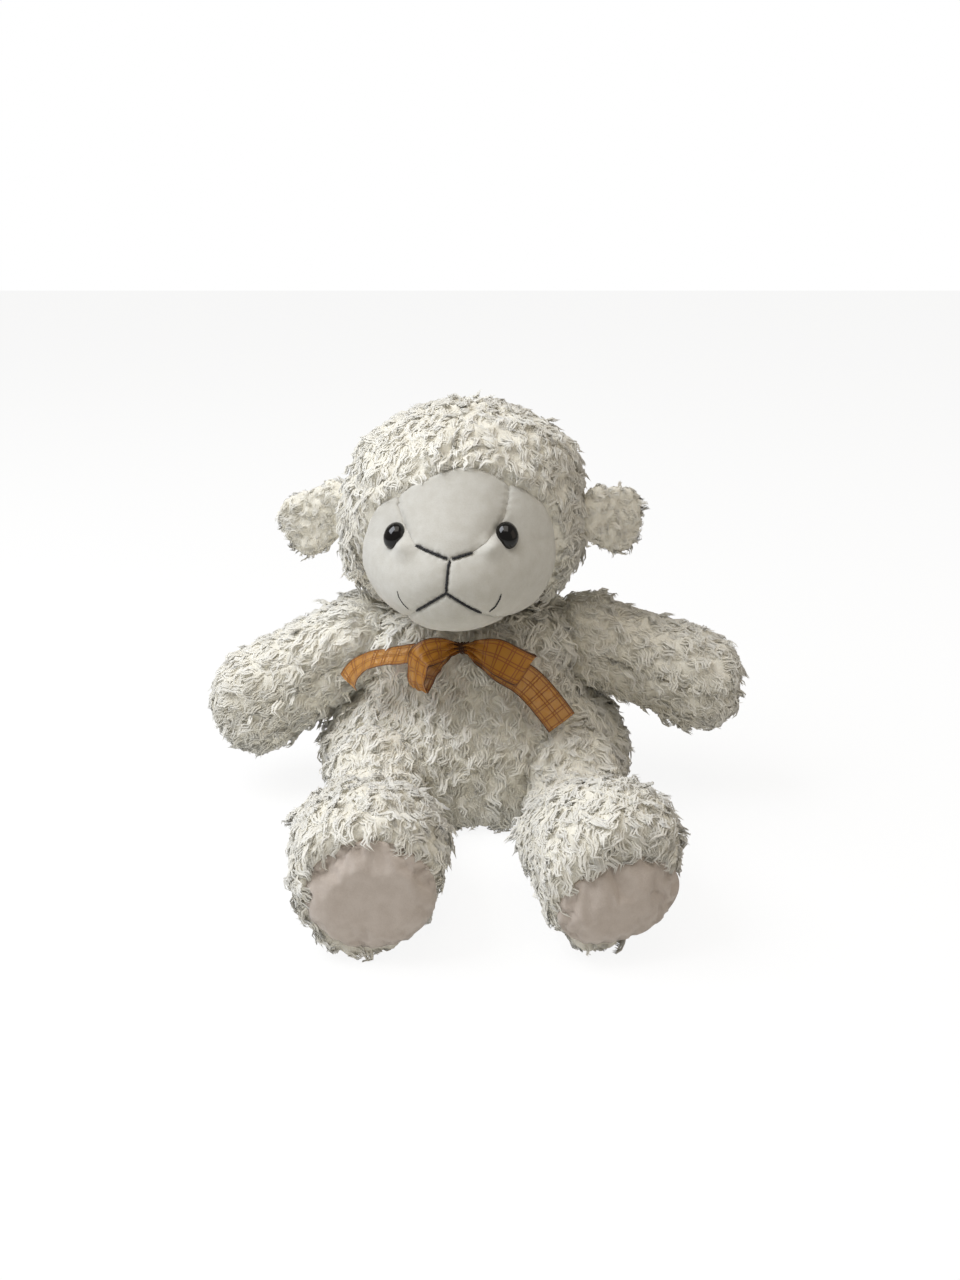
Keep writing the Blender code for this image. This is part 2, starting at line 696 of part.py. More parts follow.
def make_head(parent, sockets):
    hollow = cutter("head_hollow", in_head(head_form(PILE_COAT)), parent)
    front = -HEAD_HALF_DEPTH - MUZZLE_REACH - OVERRUN
    back = -FACE_BEHIND
    opening = cutter("face_opening", in_head(prism(face_oval(SEAM_GAP / 2), front, back)), parent)
    filling = cutter("face_filling", in_head(prism(face_oval(-SEAM_GAP / 2), front, back)), parent)
    reach = HEAD_HALF_WIDTH + MUZZLE_REACH + HEAD_ABOVE_NECK + OVERRUN
    splits = (
        ((SEAM_GAP / 2 - HEAD_ASIDE, -reach, -reach), (reach, reach, 2 * reach)),
        ((-reach, -reach, -reach), (-SEAM_GAP / 2 - HEAD_ASIDE, reach, 2 * reach)),
    )
    names = ("head_hood_left", "head_hood_right")
    list(halves(names, lambda: in_head(head_form(0.0)), hollow, splits, [opening, *sockets], PILE, parent))
    core = piece("head_stuffing", in_head(head_form(PILE_COAT + REST_GAP)), FILL, parent)
    for other in sockets:
        cut(core, other)
    panels = []
    for name, outline in face_regions().items():
        panel = piece(name, in_head(head_form(PILE_COAT - SMOOTH_PLUSH)), SMOOTH, parent)
        cut(panel, hollow)
        cut(panel, filling, "INTERSECT")
        region = cutter(name + "_region", in_head(prism(outline, front, back, SEAM_GAP)), parent)
        cut(panel, region, "INTERSECT")
        panels.append(panel)
    find = surface_finder(head_form(PILE_COAT - SMOOTH_PLUSH))
    make_eyes(parent, find, panels, core)
    make_stitches(parent, find)


def smoothed(stations, steps):
    """Stations read from a smooth curve through the ones given, each a list of numbers."""
    ends = [stations[0], *stations, stations[-1]]
    found = []
    for before, start, end, after in zip(ends, ends[1:], ends[2:], ends[3:]):
        for step in range(steps):
            t = step / steps
            weights = (
                (-(t**3) + 2 * t**2 - t) / 2,
                (3 * t**3 - 5 * t**2 + 2) / 2,
                (-3 * t**3 + 4 * t**2 + t) / 2,
                (t**3 - t**2) / 2,
            )
            columns = zip(before, start, end, after)
            found.append([sum(w * v for w, v in zip(weights, column)) for column in columns])
    return [*found, list(stations[-1])]


def ribbon_run(stations, knot):
    """A flat strip through stations of (x, y, z, lean, width) about the knot."""
    samples = smoothed(stations, RIBBON_STEPS)
    places = [knot + RIBBON_WIDTH * Vector(sample[:3]) for sample in samples]
    rings = []
    for index, (place, sample) in enumerate(zip(places, samples)):
        along = (places[min(index + 1, len(places) - 1)] - places[max(index - 1, 0)]).normalized()
        lean = math.radians(sample[3])
        width = Vector((math.sin(lean), 0.0, math.cos(lean)))
        width = (width - along * width.dot(along)).normalized()
        half = width * sample[4] * RIBBON_WIDTH / 2
        skin = along.cross(width).normalized() * RIBBON_THICKNESS / 2
        rings.append((place, half + skin, half - skin))
    return lofted(rings, 4)


def make_bow():
    """Two loops and two tails of one ribbon, gathered into a knot that a thread tacks to the chest."""
    chest, normal = surface_finder(torso_form(0.0))(-BOW_ASIDE, BOW_HEIGHT_SHARE * TORSO_HEIGHT)
    knot = chest + normal * (KNOT_RADIUS + TACK_THREAD + 3 * REST_GAP)
    ends = [knot + Vector((way * KNOT_LENGTH / 2, 0.0, 0.0)) for way in (-1, 1)]
    across, upward = Vector((0.0, KNOT_RADIUS, 0.0)), Vector((0.0, 0.0, KNOT_RADIUS))
    bow = piece("bow_ribbon", lofted([(end, across, upward) for end in ends], EYE_SIDES), RIBBON)
    for name, stations in RIBBON_RUN_SHARES.items():
        cut(bow, cutter(name, ribbon_run(stations, knot)), "UNION")
    radius = KNOT_RADIUS + REST_GAP + TACK_THREAD / 2
    pitch = TACK_THREAD + REST_GAP
    points = []
    for step in range(TACK_TURNS * TACK_STEPS + 1):
        turn = step / TACK_STEPS
        aside = (turn - TACK_TURNS / 2) * pitch
        angle = math.tau * turn
        points.append(knot + Vector((aside, -radius * math.sin(angle), radius * math.cos(angle))))
    make_thread("bow_tack_thread", points, TACK_THREAD, THREAD_BROWN, None)


def make_lamb():
    lean = math.tan(math.radians(TORSO_LEAN_BACK))
    neck_place = (0.0, lean * TORSO_HEIGHT, TORSO_HEIGHT + NECK_ABOVE_TORSO)
    neck = pivot("neck_turn", neck_place, (0.0, 0.0, HEAD_TURN))
    head = pivot("neck_nod", (0.0, 0.0, 0.0), parent=neck)
    piece("neck_stuffing", ball(NECK_BALL, NECK_SIDES, NECK_RINGS), FILL, neck)
    neck_socket = make_socket("neck_socket", NECK_BALL, neck, NECK_SIDES, NECK_RINGS)
    arm_height = ARM_HEIGHT_SHARE * TORSO_HEIGHT
    leg_forward = LEG_FORWARD_SHARE * TORSO_HALF_DEPTH
    seats = [neck_socket]
    floor_size = TORSO_HALF_WIDTH + leg_forward + LEG_LENGTH + OVERRUN
    floor = cutter("floor", block((-floor_size, -floor_size, -OVERRUN), (floor_size, floor_size, 0.0)))
    ear_sockets = []
    for side, outward in (("left", 1), ("right", -1)):
        left = side == "left"
        flip = 0.0 if left else 180.0
        arm_place = (outward * ARM_OUT_SHARE * TORSO_HALF_WIDTH, lean * arm_height, arm_height)
        arm_turn = flip - outward * (ARM_FORWARD_LEFT if left else ARM_FORWARD_RIGHT)
        arm_droop = ARM_DROOP_LEFT if left else ARM_DROOP_RIGHT
        arm = pivot(f"arm_{side}_lift", arm_place, (0.0, arm_droop, arm_turn))
        make_arm(side, arm)
        seats.append(make_socket(f"arm_{side}_socket", ARM_BALL, arm))
        leg_turn = outward * (LEG_TURN_LEFT if left else LEG_TURN_RIGHT) - 90.0
        leg_place = (outward * LEG_OUT_SHARE * TORSO_HALF_WIDTH, -leg_forward, LEG_BALL - FLOOR_CUT)
        leg = pivot(f"leg_{side}_lift", leg_place, (0.0, 0.0, leg_turn))
        make_leg(side, -outward * (SOLE_TURN_LEFT if left else SOLE_TURN_RIGHT), leg, floor)
        seats.append(make_socket(f"leg_{side}_socket", LEG_BALL, leg))
        ear_place = head_frame() @ Vector((outward * (HEAD_HALF_WIDTH - EAR_SUNK), 0.0, EAR_ABOVE_MIDDLE))
        swept = outward * (EAR_SWEPT_BACK_LEFT if left else EAR_SWEPT_BACK_RIGHT)
        ear_turn = (0.0, EAR_DROOP_LEFT if left else EAR_DROOP_RIGHT, flip + swept)
        ear = pivot(f"ear_{side}_flop", ear_place, ear_turn, head)
        make_ear(side, outward, ear)
        ear_sockets.append(make_socket(f"ear_{side}_socket", EAR_ROOT, ear))
    tail_height = TAIL_HEIGHT_SHARE * TORSO_HEIGHT
    tail_place = (0.0, TORSO_HALF_DEPTH + lean * tail_height, tail_height)
    tail = pivot("tail_lift", tail_place, (0.0, TAIL_HANG, 90.0))
    make_tail(tail)
    seats.append(make_socket("tail_socket", TAIL_BALL, tail))
    make_torso(seats)
    make_head(head, [neck_socket, *ear_sockets])
    make_bow()


clear_scene()
GUIDE = material("guide", (0.2, 0.2, 0.2), 1.0)
PILE = material("cream curly pile", (0.80, 0.78, 0.70), 0.95)
SMOOTH = material("white smooth plush", (0.86, 0.84, 0.80), 0.90)
FILL = material("white polyester fibre fill", (0.90, 0.90, 0.90), 1.00)
GLOSSY = material("black glossy plastic", (0.010, 0.009, 0.009), 0.08)
WASHER = material("white plastic washer", (0.75, 0.75, 0.73), 0.45)
THREAD_BLACK = material("black embroidery thread", (0.012, 0.012, 0.014), 0.70)
THREAD_BROWN = material("brown sewing thread", (0.150, 0.060, 0.015), 0.70)
RIBBON = material("golden organza ribbon", (0.620, 0.270, 0.030), 0.55)
make_lamb()
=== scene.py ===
# %% [markdown]
# # A sitting plush lamb with a ribbon bow
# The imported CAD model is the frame: every soft solid in it is the plain form of a stuffed piece.
# Each step below dresses one of them in the way the toy itself is sewn: cut panels of curly
# fabric, a smooth face, fill, eyes, stitches, soles and a bow.
# Lengths are in metres and angles in degrees. The lamb faces -Y and sits on Z = 0.

# %% Load the frame
import math
import random

import bmesh
import bpy
import numpy as np
from mathutils import Matrix, Vector, noise
from mathutils.bvhtree import BVHTree


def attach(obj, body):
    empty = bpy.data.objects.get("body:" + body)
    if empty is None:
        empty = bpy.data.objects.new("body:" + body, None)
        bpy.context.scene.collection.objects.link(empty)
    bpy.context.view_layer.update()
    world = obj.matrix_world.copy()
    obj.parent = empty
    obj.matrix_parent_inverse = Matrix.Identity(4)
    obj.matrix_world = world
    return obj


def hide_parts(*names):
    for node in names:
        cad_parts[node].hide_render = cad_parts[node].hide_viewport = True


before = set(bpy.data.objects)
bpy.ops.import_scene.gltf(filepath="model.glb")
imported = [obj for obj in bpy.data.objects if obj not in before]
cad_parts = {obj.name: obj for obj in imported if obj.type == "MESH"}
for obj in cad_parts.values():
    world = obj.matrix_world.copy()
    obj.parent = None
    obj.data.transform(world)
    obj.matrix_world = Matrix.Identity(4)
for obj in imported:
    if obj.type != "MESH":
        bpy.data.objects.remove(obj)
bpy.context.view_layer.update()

# %% [markdown]
# The camera stands where the photograph was taken: in front of the lamb and 20 degrees above it,
# about two thirds of a metre away, as one photographs a toy on a table by hand. A phone's main
# lens has this angle of view.

# %% Camera
VIEW_TARGET = Vector((0.0025, -0.0200, 0.0926))
VIEW_DISTANCE, VIEW_RAISED, VIEW_LENS = 0.650, math.radians(20.0), 36.56
camera = bpy.data.objects.new("camera", bpy.data.cameras.new("camera"))
camera.data.lens = VIEW_LENS
camera.data.clip_start = 0.01
camera.location = VIEW_TARGET + VIEW_DISTANCE * Vector((0.0, -math.cos(VIEW_RAISED), math.sin(VIEW_RAISED)))
camera.rotation_euler = (math.pi / 2 - VIEW_RAISED, 0.0, 0.0)
bpy.context.collection.objects.link(camera)
bpy.context.scene.camera = camera
bpy.context.scene.view_settings.view_transform = "Standard"
print("camera at", [round(number, 4) for number in camera.location])

# %% [markdown]
# Materials are node trees. Writing out each node in full hides what a material is made of, so small
# helpers do the dull part: one turns a sRGB hex colour, as read off a swatch, into the linear
# numbers that Blender works with, one adds a node, and one starts a material.

# %% Colours and nodes


def linear(code):
    """A sRGB hex colour such as F0E8D8 as linear red, green, blue and a full alpha."""
    shares = [int(code[start:start + 2], 16) / 255 for start in (0, 2, 4)]
    return (*[s / 12.92 if s <= 0.04045 else ((s + 0.055) / 1.055) ** 2.4 for s in shares], 1.0)


def add(tree, kind, into=None, ramp=(), **settings):
    """A new node. The dictionary gives its inputs, each a value or another node's output.

    A colour ramp's stops are given as (position, colour)."""
    node = tree.nodes.new(kind)
    for name, value in settings.items():
        setattr(node, name, value)
    for number, (position, code) in enumerate(ramp):
        node.color_ramp.elements[number].position = position
        node.color_ramp.elements[number].color = linear(code)
    for key, value in (into or {}).items():
        if isinstance(value, bpy.types.NodeSocket):
            tree.links.new(value, node.inputs[key])
        else:
            node.inputs[key].default_value = value
    return node


def finish_named(name, sockets):
    """A new material, its node tree, and its Principled shader with these values on its sockets."""
    made = bpy.data.materials.new(name)
    made.use_nodes = True
    shader = made.node_tree.nodes["Principled BSDF"]
    for key, value in sockets.items():
        shader.inputs[key].default_value = value
    return made, made.node_tree, shader


# %% [markdown]
# A few helpers turn a bmesh into an object, run its modifiers and tell the frame about a piece:
# which body it rides on and which solid it stands for, which is then hidden.

# %% Objects


def shown(name, bm, *looks):
    """An object from a bmesh, with its materials, shaded smooth."""
    mesh = bpy.data.meshes.new(name)
    bm.to_mesh(mesh)
    bm.free()
    for look in looks:
        mesh.materials.append(look)
    mesh.shade_smooth()
    made = bpy.data.objects.new(name, mesh)
    bpy.context.collection.objects.link(made)
    return made


def made_of(name, bm, *looks):
    """The same, with the faces turned outwards first."""
    bmesh.ops.recalc_face_normals(bm, faces=bm.faces)
    return shown(name, bm, *looks)


def modified(made, name, kind, **settings):
    """A modifier on the object, with its settings."""
    step = made.modifiers.new(name, kind)
    for key, value in settings.items():
        setattr(step, key, value)
    return step


def applied(made):
    """The object with its modifiers worked into its mesh."""
    bpy.context.view_layer.update()
    mesh = bpy.data.meshes.new_from_object(made.evaluated_get(bpy.context.evaluated_depsgraph_get()))
    made.modifiers.clear()
    made.data = mesh
    mesh.name = made.name
    return made


def belongs(made, body, node):
    """Tells the frame what a piece rides on and which solid it stands for, and hides that solid."""
    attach(made, body)
    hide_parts(node)
    triangles = sum(len(face.vertices) - 2 for face in made.data.polygons)
    print(made.name, "rides on", body, "and has", triangles, "triangles")


# %% [markdown]
# A stuffed form is a loft: rings of points across its length, bridged one to the next. Spin would
# be shorter, but it only makes forms that are as wide as they are deep. A smooth curve through the
# given stations adds rings between them, so a short table gives a round form.

# %% Lofts


def ring(bm, place, across, upward, sides):
    """A ring of edges round a place, with its two half axes given as vectors.

    The edges keep their order, as a set's order would change the mesh a little from run to run."""
    along = across.cross(upward).normalized()
    spot = Matrix((across, upward, along)).transposed().to_4x4()
    spot.translation = place
    made = bmesh.ops.create_circle(bm, segments=sides, radius=1.0, cap_ends=False, matrix=spot)
    return list(dict.fromkeys(edge for corner in made["verts"] for edge in corner.link_edges))


def bridged(bm, loops):
    for first, second in zip(loops, loops[1:]):
        bmesh.ops.bridge_loops(bm, edges=first + second)


def lofted(rings, sides):
    """A closed body through rings of (place, across, upward), flat at both ends."""
    bm = bmesh.new()
    loops = [ring(bm, *stations, sides) for stations in rings]
    bridged(bm, loops)
    for end in (loops[0], loops[-1]):
        bmesh.ops.contextual_create(bm, geom=end)
    return bm


def between(low, high, share):
    return low + (high - low) * share


def hill(value, middle, reach):
    """1 at the middle, and falling off smoothly on both sides."""
    return math.exp(-(((value - middle) / reach) ** 2))


def eased(value, start, reach):
    """0 up to the start, rising straight to 1 over the reach."""
    return min(1.0, max(0.0, (value - start) / reach))


def smoothed(stations, steps):
    """Stations read from a smooth curve through the ones given, each a list of numbers."""
    ends = [stations[0], *stations, stations[-1]]
    found = []
    for before, start, end, after in zip(ends, ends[1:], ends[2:], ends[3:]):
        for step in range(steps):
            t = step / steps
            weights = ((-(t**3) + 2 * t**2 - t) / 2, (3 * t**3 - 5 * t**2 + 2) / 2,
                       (-3 * t**3 + 4 * t**2 + t) / 2, (t**3 - t**2) / 2)
            columns = zip(before, start, end, after)
            found.append([sum(w * v for w, v in zip(weights, column)) for column in columns])
    return [*found, list(stations[-1])]


# %% [markdown]
# The lamb sits on a plain pale table in soft window light. The light comes from the upper left of
# the picture and is a little cool. The pale ceiling sends some of it down again, and the room gives
# the rest back warm and weak from the right. For the camera alone the table and the room are
# blended towards white, so they stay pale and the table keeps the shadow.

# %% Floor and light
FLOOR_HALF, FLOOR_SHARE_WHITE = 3.0, 0.85
LAMPS = {
    "window": ((-0.80, -0.20, 1.18), 0.85, 14.0, "F3F7FF"),
    "ceiling": ((0.00, -0.36, 1.36), 0.90, 4.2, "FFF9F0"),
    "room_side": ((1.10, -0.30, 0.60), 0.80, 0.7, "FFE6D2"),
}


def paler_to_camera(tree, plain, white, share, end):
    """Blends white into what the camera sees, and leaves the light on the lamb as it is."""
    rays = add(tree, "ShaderNodeLightPath").outputs
    kinds = {0: rays["Is Camera Ray"], 1: rays["Is Transmission Ray"]}
    seen = add(tree, "ShaderNodeMath", kinds, operation="MAXIMUM").outputs[0]
    part = add(tree, "ShaderNodeMath", {0: seen, 1: share}, operation="MULTIPLY").outputs[0]
    both = add(tree, "ShaderNodeMixShader", {0: part, 1: plain.outputs[0], 2: white.outputs[0]})
    tree.links.new(both.outputs[0], tree.nodes[end].inputs["Surface"])


white_table, tree, shader = finish_named("matt white table", {"Base Color": linear("ECECEA"), "Roughness": 0.9})
white = add(tree, "ShaderNodeEmission", {"Color": (1.0, 1.0, 1.0, 1.0), "Strength": 1.06})
paler_to_camera(tree, shader, white, FLOOR_SHARE_WHITE, "Material Output")
floor_bm = bmesh.new()
bmesh.ops.create_grid(floor_bm, x_segments=1, y_segments=1, size=FLOOR_HALF)
shown("table_top", floor_bm, white_table)

world = bpy.data.worlds.new("room")
world.use_nodes = True
bpy.context.scene.world = world
room = world.node_tree.nodes["Background"]
room.inputs["Color"].default_value = linear("F0EADF")
room.inputs["Strength"].default_value = 0.27
white = add(world.node_tree, "ShaderNodeBackground", {"Color": (1.0, 1.0, 1.0, 1.0), "Strength": 1.0})
paler_to_camera(world.node_tree, room, white, 1.0, "World Output")
for name, (place, size, watts, colour) in LAMPS.items():
    lamp = bpy.data.lights.new(name, "AREA")
    lamp.size, lamp.energy, lamp.color = size, watts, linear(colour)[:3]
    made = bpy.data.objects.new(name, lamp)
    made.location = place
    made.rotation_euler = (VIEW_TARGET - Vector(place)).to_track_quat("-Z", "Y").to_euler()
    bpy.context.collection.objects.link(made)
    print(name, "lamp of", watts, "W")

# %% [markdown]
# The forms repeat the CAD model's own numbers, drawn in to where the cloth lies under its pile.
# The torso is a pear that leans back a little. A pear could be turned on a lathe with spin, but
# its width and depth differ, so it is lofted. The last two stations are a collar under the head.

# %% Torso form
PILE_COAT = 0.0065
TORSO_HEIGHT, TORSO_HALF_WIDTH, TORSO_HALF_DEPTH = 0.098, 0.074, 0.053
TORSO_SIDE_SEAM = 0.008
LEAN = math.tan(math.radians(6.0))
TORSO_SHARES = (
    (0.00, 0.86, 0.90), (0.06, 1.05, 1.02), (0.22, 1.12, 1.07), (0.44, 1.00, 1.04), (0.60, 0.82, 0.94),
    (0.76, 0.76, 0.86), (0.90, 0.83, 0.84), (1.00, 0.77, 0.74), (1.05, 0.56, 0.58), (1.09, 0.34, 0.40),
)


def torso_form(inset):
    """Stations are shares of the height, half width and half depth."""
    rings = []
    for height_share, width_share, depth_share in smoothed(TORSO_SHARES, 5):
        height = inset + height_share * (TORSO_HEIGHT - 2 * inset)
        across = Vector((width_share * TORSO_HALF_WIDTH - inset, 0.0, 0.0))
        upward = Vector((0.0, depth_share * TORSO_HALF_DEPTH - inset, 0.0))
        rings.append((Vector((0.0, LEAN * height, height)), across, upward))
    return lofted(rings, 64)


# %% [markdown]
# The head is an egg whose muzzle swells from its front. A ball is scaled and its points near the
# muzzle's axis are pushed out along it, which keeps one smooth surface from brow to chin. The hood
# round the face is fuller at the jowls and the crown. The face's edge is a table of (angle, reach).

# %% Head form
HEAD_TURN, HEAD_LOOK_UP = -7.5, 8.0
HEAD_HALVES = (0.0610, 0.0565, 0.0555)
HEAD_ASIDE, HEAD_FORWARD, HEAD_ABOVE_NECK = 0.0030, 0.0130, 0.0570
NECK_BALL, NECK_ABOVE_TORSO = 0.0160, 0.0005
MUZZLE_REACH, MUZZLE_DOWN, MUZZLE_SPREAD = 0.0215, math.radians(26.0), (39.0, 31.0)
FACE_MIDDLE = (0.0, -0.010)
FACE_REACH = (
    (-180.0, 0.0440), (-163.0, 0.0480), (-140.0, 0.0490), (-118.0, 0.0450), (-90.0, 0.0420), (-62.0, 0.0470),
    (-36.0, 0.0510), (-12.0, 0.0490), (10.0, 0.0475), (23.0, 0.0460), (46.0, 0.0390), (63.0, 0.0370),
    (82.0, 0.0355), (95.0, 0.0335), (115.0, 0.0310), (142.0, 0.0340), (160.0, 0.0400), (180.0, 0.0440),
)
HOOD_CLEAR_OVER, HOOD_ASIDE = 0.30, 0.0030
JOWLS, JOWL_AT, JOWL_TALL, JOWL_OUT = {1: 0.0060, -1: 0.0075}, -0.60, 0.36, 0.50
CROWN_FULLER, CROWN_AT, CROWN_TALL = 0.075, 0.62, 0.22


def placed(place, lean=(0.0, 0.0, 0.0)):
    """A frame at a place, turned about X, then Y, then Z."""
    turns = [Matrix.Rotation(math.radians(angle), 4, axis) for angle, axis in zip(lean, "XYZ")]
    return Matrix.Translation(place) @ turns[2] @ turns[1] @ turns[0]


NECK = placed((0.0, LEAN * TORSO_HEIGHT, TORSO_HEIGHT + NECK_ABOVE_TORSO), (0.0, 0.0, HEAD_TURN))
HEAD = NECK @ placed((-HEAD_ASIDE, -HEAD_FORWARD, HEAD_ABOVE_NECK), (-HEAD_LOOK_UP, 0.0, 0.0))


def head_point(way, inset):
    """Where the head's surface lies in a direction from its middle."""
    muzzle = Vector((0.0, -math.cos(MUZZLE_DOWN), -math.sin(MUZZLE_DOWN)))
    upward = Vector((0.0, -math.sin(MUZZLE_DOWN), math.cos(MUZZLE_DOWN)))
    parts = zip((way.x, way.dot(upward)), MUZZLE_SPREAD)
    aside, raised = [math.degrees(math.atan2(part, way.dot(muzzle))) / spread for part, spread in parts]
    egg = Vector((half - inset) * part for half, part in zip(HEAD_HALVES, way))
    return egg + MUZZLE_REACH * math.exp(-((aside**2 + raised**2) ** 1.5)) * muzzle


def share_of_face(here):
    """How far out from the face's middle a place in the head's frame lies. It is 1 on the edge."""
    aside, up = here.x - FACE_MIDDLE[0], here.z - FACE_MIDDLE[1]
    reach = float(np.interp(math.degrees(math.atan2(up, aside)), *zip(*FACE_REACH)))
    return math.hypot(aside, up) / reach


def head_form(inset):
    """The head in its own frame. Places are shares of its halves, from -1 to 1."""
    bm = bmesh.new()
    bmesh.ops.create_uvsphere(bm, u_segments=96, v_segments=64, radius=1.0)
    for corner in bm.verts:
        way = corner.co.copy()
        outward = 1 if way.x > 0.0 else -1
        low = hill(way.z, JOWL_AT, JOWL_TALL) * min(1.0, abs(way.x) / JOWL_OUT) ** 2
        here = head_point(way, inset)
        clear = 1.0 if here.y > 0.0 else eased(share_of_face(here), 1.0, HOOD_CLEAR_OVER)
        here += clear * JOWLS[outward] * low * Vector((outward, -0.20, -0.35))
        here.x -= clear * HOOD_ASIDE * (0.4 - 1.2 * way.z)
        here.x *= 1.0 + CROWN_FULLER * clear * hill(way.z, CROWN_AT, CROWN_TALL)
        corner.co = here
    return bm


# %% [markdown]
# Each limb is a round form along its own X axis: a ball where it is sewn on, a waist, then the
# stuffed hand or foot. Ears and the tail are made in the same way. The two sides of a hand-stuffed
# toy never match, so each side has its own small corrections.

# %% Limb forms
LIMB_SIDES, BALL_BACK = 40, math.radians(14.0)
ARM_BALL, ARM_WAIST, ARM_FULL, ARM_LENGTH, ARM_BEND = 0.0265, 0.0225, 0.0252, 0.0860, 0.0040
ARM_SHARES = ((0.38, 0.30), (0.58, 0.85), (0.78, 1.00))
HAND_SHARES = ((0.91, 0.82), (0.975, 0.50), (1.00, 0.20))
ARM_FULLER, ARM_FURTHER = {"left": 0.0015, "right": 0.0030}, {"left": -0.0045, "right": 0.0}
LEG_BALL, LEG_WAIST, LEG_FULL, LEG_LENGTH = 0.0280, 0.0245, 0.0355, 0.1200
LEG_SHARES = ((0.26, 0.15), (0.45, 0.58), (0.66, 0.92), (0.85, 1.00), (1.00, 0.82))
THIGH_FLAT, THIGH_WIDER, THIGH_AT, THIGH_REACH = 0.26, 0.9, 0.34, 0.27
THIGH_OUT, THIGH_OUT_REACH = {"left": (0.0040, 0.16), "right": (-0.0075, 0.34)}, 0.20
FOOT_ROLLED, FOOT_ROLL_WAY = {"left": 0.34, "right": 0.12}, Vector((0.0, -0.77, 0.64))
SOLE_TURN, SOLE_TURN_FROM = {"left": -7.0, "right": 2.0}, 0.50
TAIL_BALL, TAIL_WAIST, TAIL_FULL, TAIL_LENGTH = 0.0080, 0.0065, 0.0105, 0.0340
TAIL_SHARES, TAIL_TIP_SHARES = ((0.45, 0.60), (0.68, 1.00)), ((0.86, 0.80), (0.97, 0.42))
EAR_LENGTH, EAR_HALF_HEIGHT, EAR_HALF_THICKNESS, EAR_ROOT = 0.0350, 0.0180, 0.0060, 0.0065
EAR_FURTHER = {"left": -0.0035, "right": 0.0020}
EAR_SHARES = ((0.20, 0.84, 1.00), (0.34, 0.96, 1.00), (0.50, 1.04, 1.00), (0.74, 1.06, 0.96), (0.92, 0.86, 0.80),
              (1.00, 0.46, 0.46))


def ball_end(radius, waist):
    """Rings of (along, radius) for the ball at a joint, from its back to where it meets the waist."""
    rings = [(-radius * math.cos(BALL_BACK), radius * math.sin(BALL_BACK))]
    widest = math.degrees(math.asin(waist / radius))
    for step in range(1, 5):
        angle = math.radians(step * (180.0 - widest) / 4)
        rings.append((-radius * math.cos(angle), radius * math.sin(angle)))
    return rings


def limb_rings(sections, lift=0.0, bend=0.0, length=1.0, turn=0.0):
    """Rings across +X from (along, radius). Past the joint each can rise, bend down and turn.

    A limb that lies on the table, one with a lift, is also pressed flatter at the thigh."""
    rings = []
    for along, radius in smoothed(sections, 4):
        share = max(0.0, along / length)
        angle = math.radians(turn * max(0.0, (share - SOLE_TURN_FROM) / (1.0 - SOLE_TURN_FROM)))
        lies = lift and along > 0.0
        pressed = THIGH_FLAT * hill(share, THIGH_AT, THIGH_REACH) if lies else 0.0
        high = radius * (1.0 - pressed)
        rise = (high - lift if lies else 0.0) - bend * share**2
        across = Vector((math.sin(angle), math.cos(angle), 0.0)) * radius * (1.0 + THIGH_WIDER * pressed)
        rings.append((Vector((along, 0.0, rise)), across, Vector((0.0, 0.0, high))))
    return rings


def arm_form(inset, side):
    smaller = inset - ARM_FULLER[side]
    waist, full, length = ARM_WAIST - smaller, ARM_FULL - smaller, ARM_LENGTH - smaller + ARM_FURTHER[side]
    sections = ball_end(ARM_BALL - inset, waist)
    sections += [(share * length, between(waist, full, swell)) for share, swell in ARM_SHARES]
    sections += [(share * length, full * narrow) for share, narrow in HAND_SHARES]
    return lofted(limb_rings(sections, bend=ARM_BEND, length=length), LIMB_SIDES)


def leg_rings(inset, side):
    sections = ball_end(LEG_BALL - inset, LEG_WAIST - inset)
    for share, swell in LEG_SHARES:
        sections.append((share * LEG_LENGTH, between(LEG_WAIST, LEG_FULL, swell) - inset))
    return limb_rings(sections, lift=LEG_BALL - inset, length=LEG_LENGTH, turn=SOLE_TURN[side])


def leg_form(inset, side):
    """A leg with its thigh spread outwards and its foot rolled a little, so less full low down."""
    bm = lofted(leg_rings(inset, side), LIMB_SIDES)
    shift, at = THIGH_OUT[side]
    for corner in bm.verts:
        late = eased(corner.co.x / LEG_LENGTH, 0.4, 0.4)
        low = max(0.0, 0.77 * corner.co.y - 0.64 * (corner.co.z - LEG_FULL + LEG_BALL))
        corner.co += FOOT_ROLLED[side] * late * low * FOOT_ROLL_WAY
        corner.co.y += shift * hill(corner.co.x / LEG_LENGTH, at, THIGH_OUT_REACH)
    return bm


def tail_form(inset):
    sections = ball_end(TAIL_BALL - inset, TAIL_WAIST - inset)
    for share, swell in TAIL_SHARES:
        sections.append((share * TAIL_LENGTH, between(TAIL_WAIST, TAIL_FULL, swell) - inset))
    sections += [(s * TAIL_LENGTH - inset, TAIL_FULL * n - inset * n) for s, n in TAIL_TIP_SHARES]
    return lofted(limb_rings(sections), LIMB_SIDES)


def ear_form(inset, side):
    stations = [(-EAR_ROOT, 0.5 * EAR_HALF_HEIGHT, 0.3 * EAR_ROOT), (0.0, 0.74 * EAR_HALF_HEIGHT, 0.6 * EAR_ROOT)]
    length = EAR_LENGTH + EAR_FURTHER[side]
    for along, high, thick in EAR_SHARES:
        stations.append((along * length - inset, high * EAR_HALF_HEIGHT - inset, thick * EAR_HALF_THICKNESS - inset))
    rings = [(Vector((along, 0.0, 0.0)), Vector((0.0, thick, 0.0)), Vector((0.0, 0.0, high)))
             for along, high, thick in smoothed(stations, 4)]
    return lofted(rings, LIMB_SIDES)


# %% [markdown]
# Every body's frame stands at its sewn joint, as in the CAD model. The two arms differ: the lamb's
# right one hangs lower, and its left leg and ear are turned more.

